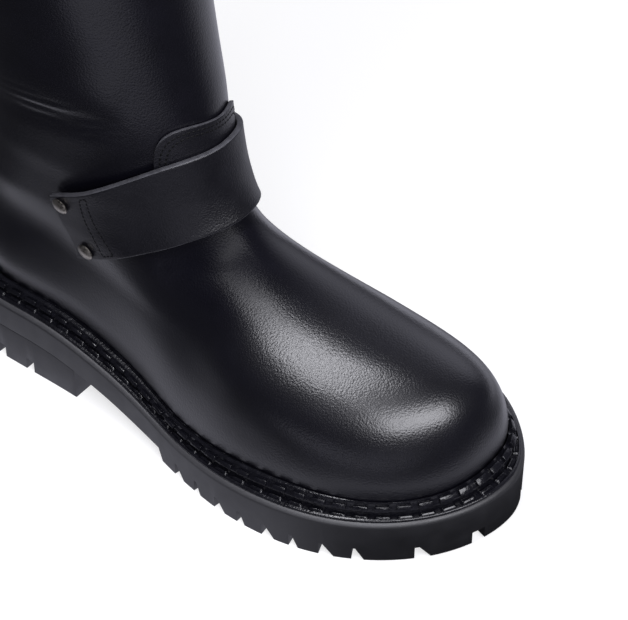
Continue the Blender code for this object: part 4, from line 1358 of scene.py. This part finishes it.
class BOOT_OT_sole(bpy.types.Operator):
    """Outsole and heel block, with their lugs"""
    bl_idname = "boot.sole"
    bl_label = "Outsole and heel"

    STATIONS = 110
    CLOSEST = 0.0006
    TIP = 0.00003
    ROUND_STEPS = 7
    EDGE_BEVEL = 0.0004
    # Painted shade: the painted light on the sole's top edge fades towards the toe tip.
    TIP_FADE = 0.8
    FADE_START = 0.86
    FADE_REACH = 0.12

    def stations(self, spans, end):
        """Places of the cross-sections: close at both ends, and one at each lug's edge."""
        even = end * (0.5 - 0.5 * np.cos(np.linspace(0.0, math.pi, self.STATIONS)))
        edges = np.unique(np.array(spans).ravel())
        edges = edges[(edges > self.CLOSEST) & (edges < end - self.TIP)]
        apart = np.abs(even[:, None] - edges[None]).min(axis=1)
        even = even[(apart > self.CLOSEST) & (even > self.TIP) & (even < end - self.TIP)]
        return np.sort(np.concatenate([[self.TIP], even, edges, [end - self.TIP]]))

    def block(self, name, rings, spans, rows, stations, polish_and_painted_light=None):
        """Closed block through rings of points, with its tread faces chosen for the lugs to be pulled down.
        """
        columns = len(rings[0])
        grid = np.array(rings)

        def place(across, up):
            column = np.rint(across * columns).astype(int) % columns
            row = np.rint(up * (len(rings) - 1)).astype(int)
            return grid[row, column]

        piece = wrapped_grid(name, columns, len(rings) - 1, place)
        mesh = piece.data
        station = np.concatenate([stations, stations[::-1]])
        middle = np.tile(0.5 * (station + np.roll(station, -1)), len(rings) - 1)
        row = np.repeat(np.arange(len(rings) - 1), columns)
        tread = np.zeros(len(row), bool)
        for span in spans:
            tread |= (middle > span[0]) & (middle < span[1]) & np.isin(row, rows)
        mark = mesh.attributes.new("tread", "INT", "FACE")
        mark.data.foreach_set("value", tread.astype(np.int32))
        mark = mesh.attributes.new("station", "FLOAT", "POINT")
        mark.data.foreach_set("value", np.tile(np.append(station, station[0]), len(rings)))
        # Painted light on the rounded top edge, marked per point.
        if polish_and_painted_light is not None:
            mark = mesh.attributes.new("polish_and_painted_light", "FLOAT", "POINT")
            mark.data.foreach_set("value", polish_and_painted_light.ravel().astype(np.float32))
        merge(piece)
        mesh = piece.data
        chosen = np.empty(len(mesh.polygons), np.int32)
        mesh.attributes["tread"].data.foreach_get("value", chosen)
        choose_faces(piece, chosen > 0)
        return piece

    def pull_lugs(self, piece):
        """Pulls the chosen tread down into lugs; gives their points and where all points lie."""
        edit(piece, "FACE")
        bpy.ops.mesh.extrude_region_move(TRANSFORM_OT_translate={"value": (0.0, 0.0, -LUG_HEIGHT)})
        edited()
        mesh = piece.data
        picked = np.empty(len(mesh.vertices), bool)
        mesh.vertices.foreach_get("select", picked)
        station = np.empty(len(mesh.vertices), np.float32)
        mesh.attributes["station"].data.foreach_get("value", station)
        mesh.attributes.remove(mesh.attributes["tread"])
        mesh.attributes.remove(mesh.attributes["station"])
        return picked, station

    def finish_block(self, piece, node):
        apply_modifier(piece, "BEVEL", width=self.EDGE_BEVEL, segments=2, limit_method="ANGLE",
                       angle_limit=math.radians(38), use_clamp_overlap=True)
        dress(piece, rubber_material())
        smooth(piece, 38.0)
        hand_over(piece, "rubber", node)

    def outsole(self):
        side = [(LUG_START + k * LUG_PITCH, LUG_START + k * LUG_PITCH + LUG_LENGTH) for k in range(LUG_COUNT)]
        toe = [(start * SOLE_LENGTH, end * SOLE_LENGTH) for start, end in TOE_LUGS]
        spans = side + toe
        stations = self.stations(spans, SOLE_LENGTH)
        edge = plan_ring(stations)
        rings = []
        angle = np.arccos(1.0 - 2.0 * stations / SOLE_LENGTH)
        lip = LIP_HEIGHT - TOE_LOWERED * np.exp(-((angle - math.pi) / TOE_SPREAD) ** 2)
        lip = np.concatenate([lip, lip[::-1]])
        seat = inset_ring(edge, LIP_WIDTH + self.EDGE_BEVEL)
        rings.append(np.column_stack([seat, sole_top(seat[:, 0])]))
        brink = inset_ring(edge, LIP_WIDTH)
        rings.append(np.column_stack([brink, sole_top(brink[:, 0]) + lip]))
        for turn in np.linspace(0.0, 0.5 * math.pi, self.ROUND_STEPS):
            ring = inset_ring(edge, boot().sole_rounding * (1.0 - math.sin(turn)))
            drop = boot().sole_rounding * (1.0 - math.cos(turn))
            rings.append(np.column_stack([ring, sole_top(ring[:, 0]) + lip - drop]))
        lug_foot = inset_ring(edge, SIDE_LUG_DEPTH)
        bar_edge = inset_ring(edge, SIDE_LUG_DEPTH + CHANNEL_WIDTH)
        top_middle = 0.5 * (rings[0] + rings[0][::-1])
        rings.insert(0, top_middle)
        for ring in (edge, lug_foot, bar_edge):
            rings.append(np.column_stack([ring, tread_line(ring[:, 0])]))
        rings.append(0.5 * (rings[-1] + rings[-1][::-1]))
        outer_row = len(rings) - 4
        # Painted light: rows of the rounded top edge are marked paler, less so towards the toe tip.
        polish_and_painted_light = np.zeros(len(rings))
        polish_and_painted_light[2:1 + self.ROUND_STEPS] = 1.0
        toward_tip = (stations / SOLE_LENGTH - self.FADE_START) / self.FADE_REACH
        fade = 1.0 - self.TIP_FADE * smooth_step(toward_tip)
        fade = np.concatenate([fade, fade[::-1], fade[:1]])
        polish_and_painted_light = np.outer(polish_and_painted_light, fade)
        piece = self.block("boot_outsole", rings, spans, (outer_row,), stations, polish_and_painted_light)
        picked, station = self.pull_lugs(piece)
        points = points_of(piece) + CENTRE
        slants = [LUG_SLANTS[k % len(LUG_SLANTS)] for k in range(LUG_COUNT)]
        slants += [TOE_LUG_SLANT] * (len(TOE_LUGS) - 1)
        for (start, end), slant in zip(spans, slants):
            inside = picked & (station > start - MERGE) & (station < end + MERGE)
            x = station[inside].astype(float)
            ahead = x + slant * (end - x) / (end - start)
            hand = np.where(points[inside, 1] < foot_axis(points[inside, 0]), -1.0, 1.0)
            points[inside, 1] += edge_place(ahead, hand) - edge_place(x, hand)
            points[inside, 0] += ahead - x
        put_points(piece, points - CENTRE)
        self.finish_block(piece, "outsole")

    def heel(self):
        edges = [(start * HEEL_BREAST, end * HEEL_BREAST) for start, end in HEEL_LUGS]
        spans = [(-1.0, edges[0][1]), *edges[1:-1], (edges[-1][0], 1.0)]
        even = SOLE_LENGTH * (0.5 - 0.5 * np.cos(np.linspace(0.0, math.pi, self.STATIONS)))
        cuts = np.unique(np.array(edges).ravel())[1:]
        apart = np.abs(even[:, None] - cuts[None]).min(axis=1)
        even = even[(apart > self.CLOSEST) & (even > self.TIP) & (even < HEEL_BREAST)]
        stations = np.sort(np.concatenate([[self.TIP], even, cuts]))
        edge = plan_ring(stations)
        count = len(stations)
        lug_foot = inset_ring(edge, SIDE_LUG_DEPTH)
        lug_foot[count - 1:count + 1, 0] = HEEL_BREAST - SIDE_LUG_DEPTH
        top = np.column_stack([edge, tread_line(edge[:, 0]) - SEAT_GAP])
        rings = [0.5 * (top + top[::-1]), top]
        rings.append(np.column_stack([edge, np.full(len(edge), LUG_HEIGHT)]))
        rings.append(np.column_stack([lug_foot, np.full(len(edge), LUG_HEIGHT)]))
        rings.append(0.5 * (rings[-1] + rings[-1][::-1]))
        piece = self.block("boot_heel", rings, spans, (2,), stations)
        self.pull_lugs(piece)
        self.finish_block(piece, "heel")

    def execute(self, context):
        self.outsole()
        self.heel()
        return {"FINISHED"}


class BOOT_OT_insole(bpy.types.Operator):
    """Cloth-faced insole inside the upper"""
    bl_idname = "boot.insole"
    bl_label = "Insole"

    def execute(self, context):
        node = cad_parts["insole"]
        insole = node.copy()
        insole.data = node.data.copy()
        insole.parent = None
        insole.name = "boot_insole"
        for key in list(insole.keys()):
            del insole[key]
        context.scene.collection.objects.link(insole)
        edit(insole, "VERT")
        bpy.ops.mesh.select_all(action="SELECT")
        bpy.ops.mesh.remove_doubles(threshold=1e-5)
        bpy.ops.mesh.tris_convert_to_quads()
        edited()
        round_edges(insole, 0.0008, 3, 50.0)
        dress(insole, insole_material())
        smooth(insole, 50.0)
        hand_over(insole, "insole", "insole")
        return {"FINISHED"}


class BOOT_OT_stage(bpy.types.Operator):
    """White table, soft boxes and the camera"""
    bl_idname = "boot.stage"
    bl_label = "Stage"

    FLOOR_SIZE = 1.2
    FLOOR_SHIFT = (0.02, 0.0, 0.0)
    AIM = (0.05, -0.01, 0.06)
    BOOT_REACH = (0.08, 0.052)
    LIT_REACH = (0.022, 0.056)
    INNER_PART = (0.10, 0.22)
    INNER_END = (0.20, 0.32)
    INNER_LIT = 0.75
    OUTER_PART = (-0.26, -0.21)
    OUTER_START = (-0.02, 0.05)
    OUTER_LIT = 0.9
    TOE_SHADED = 0.03
    TOE_LIT = 0.62
    TOE_SHADE_REACH = (0.018, 0.036)
    TOE_END = (0.052, 0.085)
    TOE_REST = 0.06
    TOE_PART = (0.05, 0.11)
    LIT_COLOUR = (0.97, 0.97, 1.12, 1.0)
    LAMP_COLOUR = (1.0, 1.0, 1.06)
    WALL_DIRECTION = (0.0, 0.866, 0.5)
    WALL_REACH = (0.86, 1.0)
    UNLIT = 0.06

    def eased(self, tree, value, span, result):
        """Smooth change between two results while a value crosses a span."""
        return add_node(tree, "ShaderNodeMapRange", {
            "Value": value, "From Min": span[0], "From Max": span[1], "To Min": result[0],
            "To Max": result[1]}, interpolation_type="SMOOTHSTEP").outputs[0]

    def two_looks(self, tree, mirrored, seen, output):
        """One look that the boot mirrors, and another that the camera sees."""
        choice = add_node(tree, "ShaderNodeMixShader", {
            0: add_node(tree, "ShaderNodeLightPath").outputs["Is Camera Ray"],
            1: mirrored.outputs[0], 2: seen.outputs[0]})
        tree.links.new(choice.outputs[0], tree.nodes[output].inputs["Surface"])

    def floor(self):
        """Table that the camera sees white, and that the boot mirrors in lit and dark zones."""
        deselect()
        bpy.ops.mesh.primitive_grid_add(x_subdivisions=24, y_subdivisions=24, size=self.FLOOR_SIZE,
                                        location=self.FLOOR_SHIFT)
        floor = bpy.context.object
        floor.name = "stage_floor"
        bpy.ops.object.transform_apply(location=True, rotation=False, scale=False)
        made = Finish("stage_white")
        made.set({"Base Color": (0.45, 0.45, 0.45, 1.0), "Roughness": 0.9, "Specular IOR Level": 0.0,
                  "Emission Color": (1.0, 1.0, 1.0, 1.0), "Emission Strength": studio().floor_glow})
        tree = made.tree
        place = add_node(tree, "ShaderNodeSeparateXYZ", {0: made.place})
        x = place.outputs["X"]
        y = place.outputs["Y"]
        beyond = math_node(tree, "SUBTRACT", math_node(tree, "ABSOLUTE", x), self.BOOT_REACH[0])
        apart = add_node(tree, "ShaderNodeCombineXYZ", {"X": math_node(tree, "MAXIMUM", beyond, 0.0), "Y": y})
        distance = add_node(tree, "ShaderNodeVectorMath", {0: apart.outputs[0]}, operation="LENGTH")
        distance = math_node(tree, "SUBTRACT", distance.outputs["Value"], self.BOOT_REACH[1])
        lit = self.eased(tree, distance, self.LIT_REACH, (studio().floor_mirrored, self.UNLIT))
        toe = math_node(tree, "MULTIPLY",
                        self.eased(tree, distance, self.TOE_SHADE_REACH, (self.TOE_SHADED, self.TOE_LIT)),
                        self.eased(tree, distance, self.TOE_END, (1.0, self.TOE_REST)))
        at_toe = self.eased(tree, x, self.TOE_PART, (0.0, 1.0))
        strength = math_node(tree, "ADD", lit, math_node(
            tree, "MULTIPLY", at_toe, math_node(tree, "SUBTRACT", toe, lit)))
        inner = math_node(tree, "MULTIPLY", self.eased(tree, y, self.INNER_PART, (0.0, self.INNER_LIT)),
                          self.eased(tree, x, self.INNER_END, (1.0, 0.0)))
        outer = math_node(tree, "MULTIPLY", self.eased(tree, y, self.OUTER_PART, (self.OUTER_LIT, 0.0)),
                          self.eased(tree, x, self.OUTER_START, (0.0, 1.0)))
        strength = math_node(tree, "MAXIMUM", strength, math_node(tree, "MAXIMUM", inner, outer))
        mirrored = add_node(tree, "ShaderNodeEmission", {"Color": self.LIT_COLOUR, "Strength": strength})
        self.two_looks(tree, mirrored, made.shader, "Material Output")
        dress(floor, made.material)

    def box_light(self, name, azimuth, elevation, distance, size, radiance):
        """Soft box at a direction from the boot, of a given radiance."""
        az = math.radians(azimuth)
        el = math.radians(elevation)
        toward = Vector((math.cos(el) * math.cos(az), math.cos(el) * math.sin(az), math.sin(el)))
        data = bpy.data.lights.new(name, "AREA")
        data.shape = "RECTANGLE"
        data.size = size[0]
        data.size_y = size[1]
        data.energy = radiance * math.pi * size[0] * size[1]
        data.color = self.LAMP_COLOUR
        light = bpy.data.objects.new(name, data)
        light.location = Vector(self.AIM) + toward * distance
        light.rotation_mode = "QUATERNION"
        light.rotation_quaternion = toward.to_track_quat("Z", "Y")
        bpy.context.scene.collection.objects.link(light)

    def world(self):
        """White background for the camera, and a dim room with a brighter inner side for the leather."""
        world = bpy.data.worlds.new("studio")
        bpy.context.scene.world = world
        world.use_nodes = True
        tree = world.node_tree
        room = tree.nodes["Background"]
        toward_wall = add_node(tree, "ShaderNodeVectorMath", {
            0: add_node(tree, "ShaderNodeTexCoord").outputs["Generated"], 1: self.WALL_DIRECTION},
            operation="DOT_PRODUCT")
        tree.links.new(self.eased(tree, toward_wall.outputs["Value"], self.WALL_REACH,
                                  (studio().room, studio().far_wall)), room.inputs["Strength"])
        room.inputs["Color"].default_value = self.LIT_COLOUR
        white = add_node(tree, "ShaderNodeBackground", {"Color": (1.0, 1.0, 1.0, 1.0), "Strength": 1.0})
        self.two_looks(tree, room, white, "World Output")

    def camera(self):
        data = bpy.data.cameras.new("photo_camera")
        data.sensor_fit = "HORIZONTAL"
        data.sensor_width = 36.0
        data.lens = studio().lens
        camera = bpy.data.objects.new("photo_camera", data)
        camera.location = studio().camera_place
        camera.rotation_euler = (0.5 * math.pi - studio().camera_tilt, 0.0, studio().camera_turn)
        bpy.context.scene.collection.objects.link(camera)
        bpy.context.scene.camera = camera

    def execute(self, context):
        context.scene.view_settings.view_transform = "Standard"
        self.floor()
        self.box_light("overhead_box", azimuth=-90.0, elevation=73.0, distance=1.0, size=(0.18, 0.84),
                       radiance=studio().overhead)
        self.box_light("front_box", azimuth=-24.0, elevation=40.0, distance=1.0, size=(1.06, 0.40),
                       radiance=studio().front)
        self.world()
        self.camera()
        return {"FINISHED"}


class BOOT_PT_pieces(bpy.types.Panel):
    """Lists the boot's pieces, sizes and finishes"""
    bl_idname = "BOOT_PT_pieces"
    bl_label = "Biker boot"
    bl_space_type = "VIEW_3D"
    bl_region_type = "UI"
    bl_category = "Boot"

    def draw(self, context):
        layout = self.layout
        for operator in OPERATORS:
            layout.operator(operator.bl_idname)
        for group in (context.scene.boot_sizes, context.scene.boot_finish, context.scene.boot_studio):
            column = layout.column()
            for key in group.bl_rna.properties.keys():
                if key not in {"rna_type", "name"}:
                    column.prop(group, key)


GROUPS = (BootSizes, BootFinish, BootStudio)
OPERATORS = (BOOT_OT_upper, BOOT_OT_tab, BOOT_OT_strap, BOOT_OT_rivets, BOOT_OT_welt, BOOT_OT_sole,
             BOOT_OT_insole, BOOT_OT_stage)


def register():
    for group in GROUPS + OPERATORS + (BOOT_PT_pieces,):
        bpy.utils.register_class(group)
    bpy.types.Scene.boot_sizes = bpy.props.PointerProperty(type=BootSizes)
    bpy.types.Scene.boot_finish = bpy.props.PointerProperty(type=BootFinish)
    bpy.types.Scene.boot_studio = bpy.props.PointerProperty(type=BootStudio)


def unregister():
    del bpy.types.Scene.boot_studio
    del bpy.types.Scene.boot_finish
    del bpy.types.Scene.boot_sizes
    for group in reversed(GROUPS + OPERATORS + (BOOT_PT_pieces,)):
        bpy.utils.unregister_class(group)


def main():
    register()
    bpy.ops.boot.upper()
    bpy.ops.boot.tab()
    bpy.ops.boot.strap()
    bpy.ops.boot.rivets()
    bpy.ops.boot.welt()
    bpy.ops.boot.sole()
    bpy.ops.boot.insole()
    bpy.ops.boot.stage()
    deselect()


if __name__ == "__main__":
    main()
